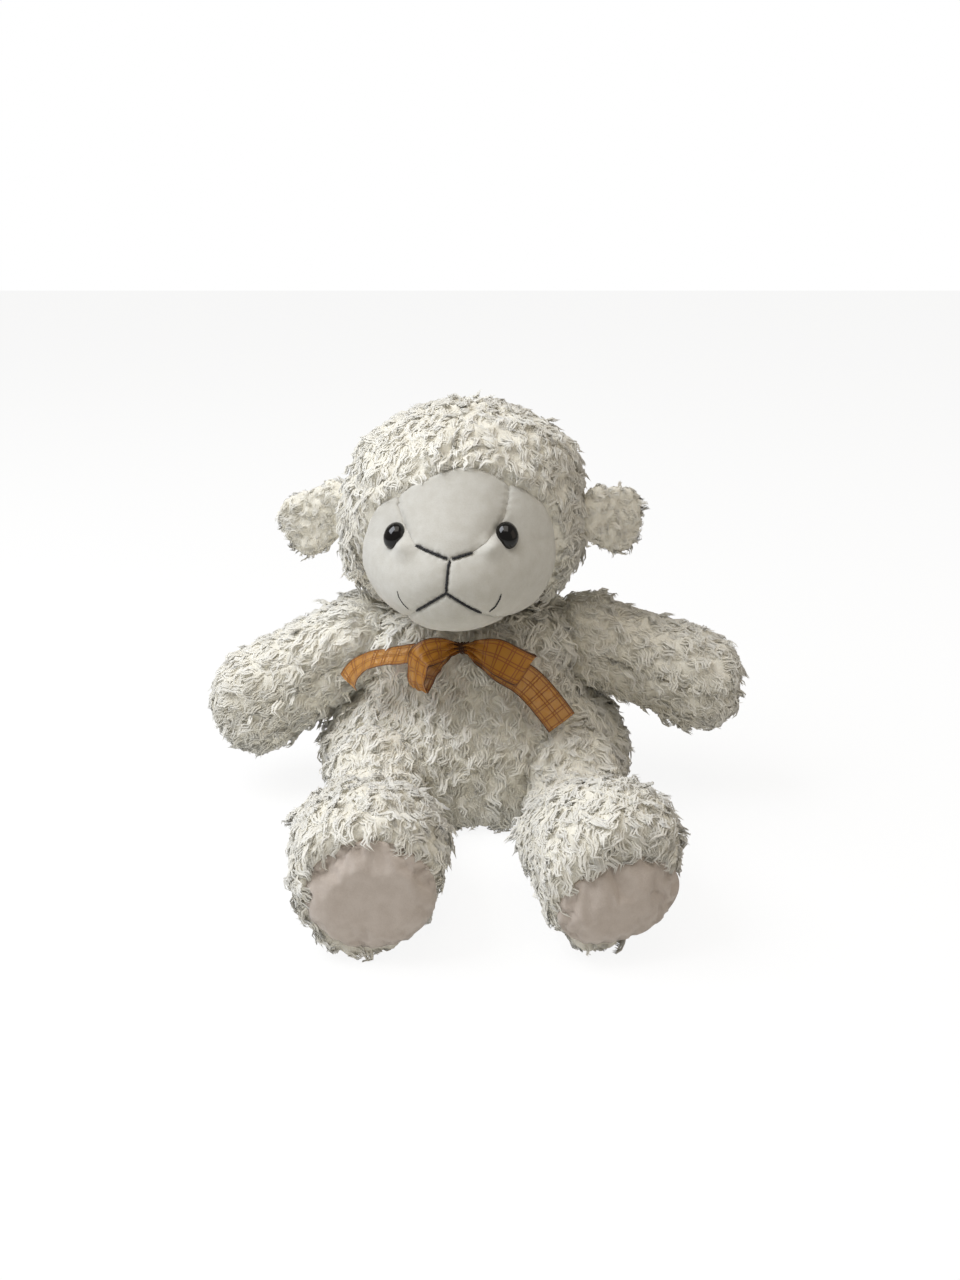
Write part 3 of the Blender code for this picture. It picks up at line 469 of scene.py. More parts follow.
# %% Where the limbs are sewn on
FLOOR_CUT, EAR_SUNK, EAR_ABOVE_MIDDLE = 0.0005, -0.0022, 0.0002
ARM_OUT, ARM_HEIGHT, TAIL_HEIGHT = 0.81 * TORSO_HALF_WIDTH, 0.84 * TORSO_HEIGHT, 0.37 * TORSO_HEIGHT
LEG_PLACE = (0.62 * TORSO_HALF_WIDTH, -0.755 * TORSO_HALF_DEPTH, LEG_BALL - FLOOR_CUT)
EAR_PLACE = (HEAD_HALVES[0] - EAR_SUNK, 0.0, EAR_ABOVE_MIDDLE)
LIMBS = {
    "arm_left": placed((ARM_OUT, LEAN * ARM_HEIGHT, ARM_HEIGHT), (0.0, 14.8, -12.0)),
    "arm_right": placed((-ARM_OUT, LEAN * ARM_HEIGHT, ARM_HEIGHT), (0.0, 28.5, 184.0)),
    "leg_left": placed(LEG_PLACE, (0.0, 0.0, -82.6)),
    "leg_right": placed((-LEG_PLACE[0], *LEG_PLACE[1:]), (0.0, 0.0, -89.0)),
    "tail": placed((0.0, TORSO_HALF_DEPTH + LEAN * TAIL_HEIGHT, TAIL_HEIGHT), (0.0, 38.0, 90.0)),
    "ear_left": HEAD @ placed(EAR_PLACE, (0.0, 16.0, 34.0)),
    "ear_right": HEAD @ placed((-EAR_PLACE[0], *EAR_PLACE[1:]), (0.0, 31.0, 180.0)),
}
for name, spot in LIMBS.items():
    print(name, "sewn at", [round(number, 4) for number in spot.translation])

# %% [markdown]
# Polyester pile is white with a cream cast. A soft sheen stands for the many fine fibres that
# catch the light at a grazing angle. A little light goes through them and comes out again, which
# subsurface scattering gives, so the pile looks soft and its hollows never turn black.

# %% Curly pile finish
curly_pile, tree, shader = finish_named("crimped polyester pile, cream white", {
    "Roughness": 0.55, "Specular IOR Level": 0.40, "Sheen Weight": 0.30, "Sheen Roughness": 0.45,
    "Subsurface Weight": 0.15, "Subsurface Radius": (1.0, 1.0, 1.0), "Subsurface Scale": 0.0015})
along, strand_tone, lock_tone = [add(tree, "ShaderNodeAttribute", attribute_name=name).outputs["Fac"]
                                 for name in ("along", "strand_tone", "lock_tone")]
# Painted shade: the colour is a greyer cream at the root, where the locks shade one another, and the brightest cream
# from 60 percent of the way along.
rise = add(tree, "ShaderNodeValToRGB", {"Fac": along}, ramp=((0.0, "F8F3E4"), (0.60, "FEFCF4")))
tones = add(tree, "ShaderNodeMath", {0: strand_tone, 1: lock_tone}, operation="ADD").outputs[0]
warm = add(tree, "ShaderNodeMapRange", {0: tones, 1: 0.0, 2: 2.0, 3: 0.0, 4: 0.40}).outputs[0]
mixed = {0: warm, 6: rise.outputs["Color"], 7: linear("F7F0DA")}
tree.links.new(add(tree, "ShaderNodeMix", mixed, data_type="RGBA").outputs[2], shader.inputs["Base Color"])
print("finish", curly_pile.name)

# %% [markdown]
# The coat is a knitted plush whose long polyester pile is crimped by heat into small curly locks.
# Hair curves would be the quick way, but a game or a printer can't use them, so the locks are
# meshes. One lock is a few tapering strands that wave together and curl at the tip. Every point
# keeps how far along the strand it is, so that the shade near a lock's root is painted into its
# colour as a greyer cream, and its tip is left brightest.

# %% Lock templates
LOCK_LENGTH, LOCK_HALF_WIDTH, LOCK_HALF_DEPTH = 0.0088, 0.0018, 0.0010
LOCK_KINDS, STRANDS, STRAND_STEPS, STRAND_HALF = 16, 6, 4, 0.00037
lock_box = bpy.data.collections.new("lock_templates")
bpy.context.scene.collection.children.link(lock_box)


def strand(bm, path, half_widths, tone, layers):
    """A three-sided strand along a path, closed to a point at its tip."""
    along_layer, tone_layer = layers
    loops = []
    for index, (place, half) in enumerate(zip(path, half_widths)):
        ahead = (path[min(index + 1, len(path) - 1)] - path[max(index - 1, 0)]).normalized()
        across = ahead.orthogonal().normalized()
        before = set(bm.verts)
        loops.append(ring(bm, place, across * half, ahead.cross(across) * half, 3))
        for corner in set(bm.verts) - before:
            corner[along_layer] = index / (len(path) - 1)
            corner[tone_layer] = tone
    bridged(bm, loops)
    tip = dict.fromkeys(corner for edge in loops[-1] for corner in edge.verts)
    bmesh.ops.pointmerge(bm, verts=list(tip), merge_co=path[-1])


def lock_template(number, chance):
    """Strands side by side that lie over towards +X, wave together and draw in to one tip."""
    bm = bmesh.new()
    layers = (bm.verts.layers.float.new("along"), bm.verts.layers.float.new("strand_tone"))
    steep, flat = chance.uniform(34.0, 58.0), chance.uniform(-48.0, 6.0)
    wave, waves, phase = chance.uniform(0.0013, 0.0024), chance.uniform(0.8, 1.4), chance.uniform(0.0, math.tau)
    for which in range(STRANDS):
        aside = between(-1.0, 1.0, which / (STRANDS - 1)) + chance.uniform(-0.15, 0.15)
        depth = chance.uniform(-1.0, 1.0)
        reach = LOCK_LENGTH * chance.uniform(0.66, 1.12) / STRAND_STEPS
        own_phase = phase + chance.uniform(-0.6, 0.6)
        spine, path, half_widths = Vector(), [], []
        for step in range(STRAND_STEPS + 1):
            t = step / STRAND_STEPS
            slope = math.radians(between(steep, flat, t**0.7))
            if step:
                spine = spine + reach * Vector((math.cos(slope), 0.0, math.sin(slope)))
            turn = own_phase + math.tau * waves * t
            across = LOCK_HALF_WIDTH * aside * (1.0 - 0.50 * t) + wave * t**0.7 * math.sin(turn)
            up = LOCK_HALF_DEPTH * depth * (1.0 - 0.5 * t) + 0.5 * wave * t * math.cos(1.4 * turn)
            path.append(spine + Vector((-up * math.sin(slope), across, up * math.cos(slope))))
            half_widths.append(STRAND_HALF * (1.0 + 0.30 * math.sin(math.pi * t) - 0.45 * t**2))
        strand(bm, path, half_widths, chance.random(), layers)
    made = made_of(f"lock_{number:02d}", bm, curly_pile)
    lock_box.objects.link(made)
    return made


chance = random.Random(7)
locks = [lock_template(number, chance) for number in range(LOCK_KINDS)]
print("lock templates", len(locks), "faces each", len(locks[0].data.polygons))

# %% [markdown]
# Under the pile lies the knitted ground it is tied into. It shows only where locks part, so it is
# the colour of shaded pile, with the loops of the knit, about 1 mm, as a fine bump.

# %% Knitted ground finish
KNIT_LOOP = 0.0010
knitted_ground, tree, shader = finish_named("knitted ground of the pile fabric", {"Roughness": 0.9})
spots = add(tree, "ShaderNodeTexCoord").outputs["Object"]
loops = add(tree, "ShaderNodeTexVoronoi", {"Vector": spots, "Scale": 1.0 / KNIT_LOOP}).outputs["Distance"]
shade = add(tree, "ShaderNodeValToRGB", {"Fac": loops}, ramp=((0.0, "FCF9EE"), (1.0, "F7F2E2")))
tree.links.new(shade.outputs["Color"], shader.inputs["Base Color"])
bump = add(tree, "ShaderNodeBump", {"Height": loops, "Distance": 0.0003, "Strength": 0.6})
tree.links.new(bump.outputs["Normal"], shader.inputs["Normal"])
knit_back = knitted_ground.copy()
knit_back.name = "back of the knitted ground"
print("finish", knitted_ground.name)

# %% [markdown]
# Locks are planted with geometry nodes: points are spread evenly over the cloth, each gets one
# of the templates, turned so that it stands on the cloth and lies over in the combed direction.
# A Python loop would do the same far more slowly. The cloth's points carry the comb's direction,
# the lock's length and how dense the pile is. Curly pile also clumps: a bent cell pattern of about
# 7 mm raises the ground under each clump, so light and shade fall on whole tufts.

# %% Planting the pile
LOCK_SPACING, LOCKS_PER_SQUARE_METRE = 0.00276, 230000.0
LOCK_SMALLEST, LOCK_LARGEST = 0.80, 1.22
LEAN_BY, TURN_BY = math.radians(14.0), math.radians(42.0)
TUFT, TUFT_RISE, TUFT_BEND, PILE_BODY = 0.0068, 0.0022, 0.0080, 0.0022
planting = bpy.data.node_groups.new("plant_pile", "GeometryNodeTree")
for way in ("INPUT", "OUTPUT"):
    planting.interface.new_socket("Geometry", in_out=way, socket_type="NodeSocketGeometry")
cloth = add(planting, "NodeGroupInput").outputs[0]
face_of = add(planting, "GeometryNodeInputMaterialIndex").outputs[0]
outside = add(planting, "FunctionNodeCompare", {2: face_of, 3: 0}, data_type="INT", operation="EQUAL").outputs[0]
dense, length, comb = [
    add(planting, "GeometryNodeInputNamedAttribute", {"Name": name}, data_type=kind).outputs[0]
    for name, kind in (("pile_density", "FLOAT"), ("pile_length", "FLOAT"), ("comb", "FLOAT_VECTOR"))]
here = add(planting, "GeometryNodeInputPosition").outputs[0]
way = add(planting, "GeometryNodeInputNormal").outputs[0]
drift = {"Vector": here, "Scale": 1.0 / TUFT_BEND, "Detail": 1.0}
bent = add(planting, "ShaderNodeTexNoise", drift).outputs["Color"]
moved = {0: bent, 1: (TUFT_BEND, TUFT_BEND, TUFT_BEND), 2: here}
astray = add(planting, "ShaderNodeVectorMath", moved, operation="MULTIPLY_ADD").outputs[0]
cells = {"Vector": astray, "Scale": 1.0 / TUFT, "Smoothness": 0.25}
tufts = add(planting, "ShaderNodeTexVoronoi", cells, feature="SMOOTH_F1").outputs["Distance"]
heights = {0: tufts, 1: 0.10, 2: 0.75, 3: PILE_BODY + TUFT_RISE, 4: PILE_BODY}
rise = add(planting, "ShaderNodeMapRange", heights, interpolation_type="SMOOTHSTEP").outputs[0]
held = add(planting, "ShaderNodeMath", {0: rise, 1: length}, operation="MULTIPLY").outputs[0]
shift = add(planting, "ShaderNodeVectorMath", {0: way, "Scale": held}, operation="SCALE").outputs[0]
raised = {"Geometry": cloth, "Selection": outside, "Offset": shift}
tufted = add(planting, "GeometryNodeSetPosition", raised).outputs[0]
spread = {"Mesh": tufted, "Selection": outside, "Distance Min": LOCK_SPACING,
          "Density Max": LOCKS_PER_SQUARE_METRE, "Density Factor": dense, "Seed": 3}
points = add(planting, "GeometryNodeDistributePointsOnFaces", spread, distribute_method="POISSON").outputs
axes = {"Primary Axis": points["Normal"], "Secondary Axis": comb}
stand = add(planting, "FunctionNodeAxesToRotation", axes, primary_axis="Z", secondary_axis="X").outputs[0]
turns = {0: (-LEAN_BY, -LEAN_BY, -TURN_BY), 1: (LEAN_BY, LEAN_BY, TURN_BY), "Seed": 11}
stray = add(planting, "FunctionNodeRandomValue", turns, data_type="FLOAT_VECTOR").outputs[0]
as_turn = add(planting, "FunctionNodeEulerToRotation", {0: stray}).outputs[0]
turned = add(planting, "FunctionNodeRotateRotation", {0: stand, 1: as_turn}, rotation_space="LOCAL").outputs[0]
sizes = {2: LOCK_SMALLEST, 3: LOCK_LARGEST, "Seed": 5}
size = add(planting, "FunctionNodeRandomValue", sizes, data_type="FLOAT").outputs[1]
scale = add(planting, "ShaderNodeMath", {0: length, 1: size}, operation="MULTIPLY").outputs[0]
kinds = add(planting, "GeometryNodeCollectionInfo", {0: lock_box, "Separate Children": True}).outputs[0]
planted = add(planting, "GeometryNodeInstanceOnPoints", {
    "Points": points["Points"], "Instance": kinds, "Pick Instance": True, "Rotation": turned, "Scale": scale})
tone = add(planting, "FunctionNodeRandomValue", {2: 0.0, 3: 1.0, "Seed": 8}, data_type="FLOAT").outputs[1]
kept = planted.outputs[0]
for name, value, kind in (("lock_tone", tone, "FLOAT"), ("coat_way", points["Normal"], "FLOAT_VECTOR")):
    stored = {"Geometry": kept, "Name": name, "Value": value}
    kept = add(planting, "GeometryNodeStoreNamedAttribute", stored, data_type=kind, domain="INSTANCE").outputs[0]
real = add(planting, "GeometryNodeRealizeInstances", {0: kept}).outputs[0]
joined = add(planting, "GeometryNodeJoinGeometry")
planting.links.new(real, joined.inputs[0])
planting.links.new(tufted, joined.inputs[0])
add(planting, "NodeGroupOutput", {0: joined.outputs[0]})
print("planting nodes", len(planting.nodes))

# %% [markdown]
# The cloth of each stuffed piece starts from its form. The form is remeshed into even quads, so
# that the pile grows evenly on it. A search tree of each form tells how deep a place lies in it.

# %% Remeshed forms
FORM_VOXEL, FINE_VOXEL, FINEST_VOXEL = 0.0036, 0.0016, 0.0014
CLOTH_DEPTH, TAIL_CLOTH_DEPTH, EAR_CLOTH_DEPTH = 0.0050, 0.0030, 0.0034


def form_mesh(bm, spot, voxel=FORM_VOXEL):
    """A form in its place, remeshed into even quads."""
    bmesh.ops.transform(bm, matrix=spot, verts=bm.verts)
    made = made_of("form", bm)
    modified(made, "even quads", "REMESH", mode="VOXEL", voxel_size=voxel)
    modified(made, "soften", "SMOOTH", factor=0.5, iterations=4)
    mesh = applied(made).data
    bpy.data.objects.remove(made)
    return mesh


def tree_of(mesh):
    bm = bmesh.new()
    bm.from_mesh(mesh)
    found = BVHTree.FromBMesh(bm)
    bm.free()
    return found


def depth_in(tree, place):
    """How far a place lies inside a form. It is negative outside."""
    near, normal, _, distance = tree.find_nearest(place)
    return distance if (place - near).dot(normal) < 0.0 else -distance


FORMS = {
    "torso": form_mesh(torso_form(CLOTH_DEPTH), Matrix()),
    "head": form_mesh(head_form(CLOTH_DEPTH), HEAD),
    "tail": form_mesh(tail_form(TAIL_CLOTH_DEPTH), LIMBS["tail"], FINE_VOXEL),
}
for side in ("left", "right"):
    FORMS[f"arm_{side}"] = form_mesh(arm_form(CLOTH_DEPTH, side), LIMBS[f"arm_{side}"])
    FORMS[f"leg_{side}"] = form_mesh(leg_form(CLOTH_DEPTH, side), LIMBS[f"leg_{side}"])
    FORMS[f"ear_{side}"] = form_mesh(ear_form(EAR_CLOTH_DEPTH, side), LIMBS[f"ear_{side}"], FINEST_VOXEL)
TREES = {name: tree_of(mesh) for name, mesh in FORMS.items()}
print("forms", {name: len(mesh.polygons) for name, mesh in FORMS.items()})

# %% [markdown]
# Thousands of hard little strands would glitter. Real pile doesn't, because its fibres are soft and
# scatter the light together, so the strands' normals are turned towards the cloth's in the end.
# Locks that would go through the table are laid on it.

# %% Pile as one soft body
SOFTNESS, LEAST_FACING, FLOOR_CLEAR = 1.5, 0.06, 0.0004


def lit_as_one(mesh):
    """Turns the locks' normals part way to the cloth's, as fibres scatter light like one soft body."""
    own = np.empty(len(mesh.vertices) * 3, np.float32)
    ways, faces = np.empty_like(own), np.empty(len(mesh.polygons) * 3, np.float32)
    owners, totals = np.empty(len(mesh.loops), np.int32), np.empty(len(mesh.polygons), np.int32)
    mesh.vertex_normals.foreach_get("vector", own)
    mesh.attributes["coat_way"].data.foreach_get("vector", ways)
    mesh.polygons.foreach_get("normal", faces)
    mesh.polygons.foreach_get("loop_total", totals)
    mesh.loops.foreach_get("vertex_index", owners)
    mixed = (own + SOFTNESS * ways).reshape(-1, 3)
    mixed /= np.maximum(np.linalg.norm(mixed, axis=1, keepdims=True), 1e-6)
    corners, faces = mixed[owners], np.repeat(faces.reshape(-1, 3), totals, 0)
    corners += faces * np.maximum(0.0, LEAST_FACING - (corners * faces).sum(1, keepdims=True))
    mesh.normals_split_custom_set(corners / np.maximum(np.linalg.norm(corners, axis=1, keepdims=True), 1e-6))


def kept_off_floor(mesh):
    places = np.empty(len(mesh.vertices) * 3, np.float32)
    mesh.vertices.foreach_get("co", places)
    heights = places.reshape(-1, 3)[:, 2]
    np.maximum(heights, FLOOR_CLEAR, out=heights)
    mesh.vertices.foreach_set("co", places)
    mesh.update()


# %% [markdown]
# A coat panel is its form, cut at the seams and pulled in a little along them as a sewn seam is.
# It gets its thickness and comb directions, and the pile is planted. Where a form sinks into its
# neighbour or lies on the table, the pile is thinner and shorter, and deeper in there is none.
# The comb swirls a little. Its noise_vector has a seed of its own, which is the clock unless it is
# set, so it is set here and every run gives the same locks.
# %% Coat panels
CLOTH_THICKNESS, SEAM_PULL, SEAM_REACH, COAT_FILL = 0.0012, 0.0009, 0.0040, 0.7
REST_HEIGHT, REST_SHARE = 0.0110, 0.30
SWIRLS, SWIRL_SEED = ((0.9, 0.016), (0.6, 0.006)), 1
ROOT_BARE, CROWD_REACH, CROWDED_LENGTH, LEAST_LENGTH = 0.0035, 0.006, 0.62, 0.12
LOW_BELOW, LOW_FACING, LOW_DENSITY, LOW_LENGTH = 0.012, -0.6, 0.45, 0.55
noise.seed_set(SWIRL_SEED)


def combed_and_thinned(bm, combed, length, others):
    """Writes the comb's direction, the pile's density and its length on every point of the cloth."""
    comb_layer = bm.verts.layers.float_vector.new("comb")
    density_layer = bm.verts.layers.float.new("pile_density")
    length_layer = bm.verts.layers.float.new("pile_length")
    for corner in bm.verts:
        way = combed(corner.co)
        for weight, size in SWIRLS:
            way = way + weight * noise.noise_vector(corner.co / size)
        way -= corner.normal * way.dot(corner.normal)
        corner[comb_layer] = way.normalized() if way.length > 1e-6 else corner.normal.orthogonal()
        buried = max((depth_in(TREES[other], corner.co) for other in others), default=-1.0)
        low = corner.normal.z < LOW_FACING and corner.co.z < LOW_BELOW
        size = length(corner.co)
        bare = buried > ROOT_BARE or size < LEAST_LENGTH
        corner[density_layer] = 0.0 if bare else LOW_DENSITY if low else 1.0
        crowded = between(CROWDED_LENGTH, 1.0, eased(-buried, 0.0, CROWD_REACH))
        corner[length_layer] = size * crowded * (LOW_LENGTH if low else 1.0)


def coat(name, body, node, cuts, combed, length, others, skip=None):
    """One panel of curly fabric. Each cut is a plane (point, normal), and what it points to is kept."""
    bm = bmesh.new()
    bm.from_mesh(FORMS[body])
    for corner in bm.verts:
        if corner.co.z < REST_HEIGHT:
            corner.co.z = FLOOR_CLEAR + CLOTH_THICKNESS + REST_SHARE * corner.co.z
    cuts = [(Vector(point), Vector(normal)) for point, normal in cuts]
    for point, normal in cuts:
        bmesh.ops.bisect_plane(bm, geom=[*bm.verts, *bm.edges, *bm.faces], dist=1e-6, plane_co=point,
                               plane_no=normal, clear_inner=True, clear_outer=False)
    if skip:
        gone = [face for face in bm.faces if skip(face.calc_center_median(), face.normal)]
        bmesh.ops.delete(bm, geom=gone, context="FACES")
    bm.normal_update()
    for corner in bm.verts:
        near = min((abs((corner.co - point).dot(normal.normalized())) for point, normal in cuts), default=1.0)
        corner.co -= corner.normal * SEAM_PULL * hill(near, 0.0, SEAM_REACH)
    bm.normal_update()
    combed_and_thinned(bm, combed, length, others)
    made = shown(name, bm, knitted_ground, knit_back)
    modified(made, "finer", "SUBSURF", levels=1, render_levels=1)
    modified(made, "cloth", "SOLIDIFY", thickness=CLOTH_THICKNESS, offset=-1.0, material_offset=1,
             material_offset_rim=1)
    modified(made, "pile", "NODES", node_group=planting)
    mesh = applied(made).data
    kept_off_floor(mesh)
    lit_as_one(mesh)
    for spare in ("comb", "pile_density", "pile_length", "coat_way"):
        mesh.attributes.remove(mesh.attributes[spare])
    belongs(made, body, node)


# %% [markdown]
# The torso is one front panel and two back panels, sewn at the sides and down the back. Its pile
# is combed down, and waves sideways as crimped pile does.

# %% Torso coat
TORSO_SPREAD, TORSO_PILE, NECK_PILE, NECK_PILE_AT, NECK_PILE_REACH = 4.0, 1.02, 0.40, 0.096, 0.010
DOWN = Vector((0.0, 0.0, -1.0))
BODY_NEIGHBOURS = ("arm_left", "arm_right", "leg_left", "leg_right", "head", "tail")
SIDE_SEAM = (0.0, TORSO_SIDE_SEAM, 0.0)
TORSO_PANELS = {
    "front": ("torso_front_panel", [(SIDE_SEAM, (0, -1, 0))]),
    "back_left": ("torso_back_panel_left", [(SIDE_SEAM, (0, 1, 0)), ((0, 0, 0), (1, 0, 0))]),
    "back_right": ("torso_back_panel_right", [(SIDE_SEAM, (0, 1, 0)), ((0, 0, 0), (-1, 0, 0))]),
}


def torso_comb(place):
    return DOWN + Vector((place.x * TORSO_SPREAD, -0.15, 0.0))


def torso_length(place):
    """The pile is fullest round the neck, where nothing presses it down."""
    return TORSO_PILE + NECK_PILE * hill(place.z, NECK_PILE_AT, NECK_PILE_REACH)


for panel, (node, cuts) in TORSO_PANELS.items():
    coat(f"torso_{panel}", "torso", node, cuts, torso_comb, torso_length, BODY_NEIGHBOURS)

# %% [markdown]
# The hood is two halves with a seam over the crown. It is open at the face. Its pile grows
# outward from the crown and hangs over the edge of the face in a scalloped fringe.

# %% Hood
UNHEAD, CROWN = HEAD.inverted(), HEAD @ Vector((0.0, 0.010, 0.050))
FACE_BACK, FACE_OPENING, HOOD_DROOP = -0.008, 0.88, 0.7
PILE_FROM, PILE_OVER, HOOD_PILE, JOWL_PILE = 0.975, 0.035, 0.92, 0.24


def face_share(place):
    """The share of the face that a place lies at, and far off behind the face."""
    here = UNHEAD @ place
    return 9.0 if here.y > FACE_BACK else share_of_face(here)


def hood_comb(place):
    return (place - CROWN).normalized() + HOOD_DROOP * DOWN


def hood_length(place):
    """No pile under the face's edge, short at the brow, long and full at the jowls."""
    here = UNHEAD @ place
    jowl = hill(here.z, -0.030, 0.020) * min(1.0, abs(here.x) / 0.040)
    return eased(face_share(place), PILE_FROM, PILE_OVER) * (HOOD_PILE + JOWL_PILE * jowl)


SIDEWAYS = NECK.to_3x3() @ Vector((1.0, 0.0, 0.0))
for side, outward in (("left", 1), ("right", -1)):
    coat(f"hood_{side}", "head", f"head_hood_{side}", [(HEAD.translation, SIDEWAYS * outward)], hood_comb,
         hood_length, ("torso", f"ear_{side}"), lambda place, normal: face_share(place) < FACE_OPENING)

# %% [markdown]
# Arms and legs are each an upper and a lower panel, combed towards the hand or the foot. The sole is
# an oval set into the foot's end, a little rolled. The pile stands round it and hangs over it, and
# none is under it. A pad's numbers are its half axes, its roll, and its shift sideways and up.

# %% Limb coats
PADS = {"left": (0.0268, 0.0190, 14.0, -0.0015, -0.0040), "right": (0.0274, 0.0250, 10.0, 0.0010, -0.0010)}
SOLE_OPENING, OPENING_DEEP, SOLE_BARE, BARE_DEEP = 0.90, 0.012, 0.96, 0.005
LIMB_DROOP, LIMB_PILE = 0.55, 0.95


def pad_frame(side):
    """The sole's middle, its two half axes and its outward direction."""
    half_wide, half_high, roll, aside, up = PADS[side]
    spot = LIMBS[f"leg_{side}"]
    place, across, upward = leg_rings(PILE_COAT - 0.0010, side)[-1]
    across, upward = across.normalized(), upward.normalized()
    cos, sin = math.cos(math.radians(roll)), math.sin(math.radians(roll))
    turn = spot.to_3x3()
    wide = turn @ (across * cos + upward * sin) * half_wide
    high = turn @ (upward * cos - across * sin) * half_high
    return spot @ (place + across * aside + upward * up), wide, high, wide.cross(high).normalized()


SOLES = {side: pad_frame(side) for side in ("left", "right")}


def sole_share(side, place, band):
    """How far out from the sole's middle a place near its plane lies. It is 1 on the sole's edge."""
    middle, wide, high, way = SOLES[side]
    off = place - middle
    reach = math.hypot(off.dot(wide) / wide.length_squared, off.dot(high) / high.length_squared)
    return reach if abs(off.dot(way)) < band else 9.0


for limb in ("arm", "leg"):
    for side in ("left", "right"):
        body, skip, neighbours = f"{limb}_{side}", None, ("torso", "head")
        turn = LIMBS[body].to_3x3()
        comb = turn @ Vector((1.0, 0.0, 0.0)) + LIMB_DROOP * DOWN
        if limb == "leg":
            neighbours = ("torso",)

            def skip(place, normal, side=side):
                return sole_share(side, place, OPENING_DEEP) < SOLE_OPENING and normal.dot(SOLES[side][3]) > 0.3

        def limb_length(place, side=side, soled=limb == "leg"):
            return 0.0 if soled and sole_share(side, place, BARE_DEEP) < SOLE_BARE else LIMB_PILE

        for part, up in (("upper", 1), ("lower", -1)):
            cuts = [(LIMBS[body].translation, turn @ Vector((0.0, 0.0, up)))]
            coat(f"{body}_{part}", body, f"{body}_{part}_panel", cuts, lambda place, way=comb: way, limb_length,
                 neighbours, skip)

# %% [markdown]
# The ears are two leaves of the same fabric, sewn round their edge and hardly stuffed. The tail is
# a small stuffed drop.

# %% Ears and tail
EAR_PILE, EAR_DROOP, TAIL_PILE = 0.62, 0.35, 0.7
for side, outward in (("left", 1), ("right", -1)):
    spot = LIMBS[f"ear_{side}"]
    turn = spot.to_3x3()
    comb = turn @ Vector((1.0, 0.0, 0.0)) + EAR_DROOP * DOWN
    for leaf, way in (("front", 1), ("back", -1)):
        cuts = [(spot.translation, turn @ Vector((0.0, -outward * way, 0.0)))]
        coat(f"ear_{side}_{leaf}_leaf", f"ear_{side}", f"ear_{side}_{leaf}", cuts,
             lambda place, way=comb: way, lambda place: EAR_PILE, ("head",))
tail_way = LIMBS["tail"].to_3x3() @ Vector((1.0, 0.0, 0.0))
coat("tail_coat", "tail", "tail", [], lambda place: tail_way, lambda place: TAIL_PILE, ("torso",))
for old in locks:
    bpy.data.objects.remove(old)
bpy.data.collections.remove(lock_box)

# %% [markdown]
# The smooth face is velboa, a plush with a pile of about a millimetre. Four panels meet at curved
# seams: a gusset from the brow to the nose, two cheeks and a chin. A real panel is flat cloth that the
# fill pushes out between its seams. Here one fine ball is shaped as the head, its face part is cut
# along the seams with planes, and every point moves by its distance to the nearest seam: in at the
# seam, out between seams. Seams and eyes are given in the head's frame as (sideways, upwards).

# %% Face form
FACE_INSET, CHIN_FULLER, FACE_FRONT_OF, FACE_HEM, CUT_REACH = 0.0035, 0.0070, -0.004, 1.10, 0.0022
HEM_TUCK, TUCK_FROM, TUCK_OVER = 0.0045, 0.94, 0.10
FACE_PUFF, FACE_PUFF_REACH, FACE_GROOVE, GROOVE_REACH = 0.0010, 0.0060, 0.0011, 0.0012
PUCKER, PUCKER_STEP, PUCKER_AT, PUCKER_REACH = 0.00022, 0.0032, 0.0012, 0.0018
NOSE_CORNER, LIP_CORNER = (0.0026, -0.0156), (0.0017, -0.0306)
SEAM_LINES = (
    ((0.0270, 0.0300), (0.0260, 0.0107), (0.0252, 0.0033), (0.0218, -0.0031), (0.0180, -0.0085),
     (0.0123, -0.0125), NOSE_CORNER),
    ((-0.0262, 0.0300), (-0.0255, 0.0120), (-0.0238, 0.0036), (-0.0213, -0.0010), (-0.0192, -0.0044),
     (-0.0138, -0.0103), NOSE_CORNER),
    (NOSE_CORNER, (0.0021, -0.0235), LIP_CORNER),
    (LIP_CORNER, (0.0162, -0.0402), (0.0280, -0.0500)),
    (LIP_CORNER, (-0.0127, -0.0401), (-0.0250, -0.0500)),
)
SEAM_STRETCHES = [ends for line in SEAM_LINES for ends in zip(line, line[1:])]
EYES = {"left": (0.0264, -0.0059), "right": (-0.0249, -0.0076)}
EYE_DIMPLE, EYE_DIMPLE_REACH = 0.0016, 0.0075
LID_RISE, LID_REACH, LID_ASIDE, LID_DOWN = 0.0044, 0.0042, 0.0060, 0.0048


def face_point(way):
    """The face's cloth in a direction from the head's middle. It is fullest at the chin."""
    low = eased(-way.z, 0.15, 0.55) * eased(-way.y, -0.5, 1.0)
    return head_point(way, FACE_INSET - CHIN_FULLER * low)


def to_line(x, z, start, end):
    """The distance from a point to a line's stretch from start to end, and how far along it is."""
    run = Vector(end) - Vector(start)
    share = min(1.0, max(0.0, (Vector((x, z)) - Vector(start)).dot(run) / run.length_squared))
    return (Vector(start) + run * share - Vector((x, z))).length, share * run.length


def face_height(here):
    """How far the cloth is pushed out at a place in the head's frame."""
    gap, along = min(to_line(here.x, here.z, *ends) for ends in SEAM_STRETCHES)
    height = FACE_PUFF * (1.0 - hill(gap, 0.0, FACE_PUFF_REACH)) - FACE_GROOVE * hill(gap, 0.0, GROOVE_REACH)
    height += PUCKER * math.sin(along * math.tau / PUCKER_STEP) * hill(gap, PUCKER_AT, PUCKER_REACH)
    for x, z in EYES.values():
        inward = -math.copysign(1.0, x)
        height -= EYE_DIMPLE * hill(math.hypot(here.x - x, here.z - z), 0.0, EYE_DIMPLE_REACH)
        lid = math.hypot(here.x - x - inward * LID_ASIDE, here.z - z + LID_DOWN)
        height += LID_RISE * hill(lid, 0.0, LID_REACH)
    return height - HEM_TUCK * max(0.0, share_of_face(here) - TUCK_FROM) / TUCK_OVER


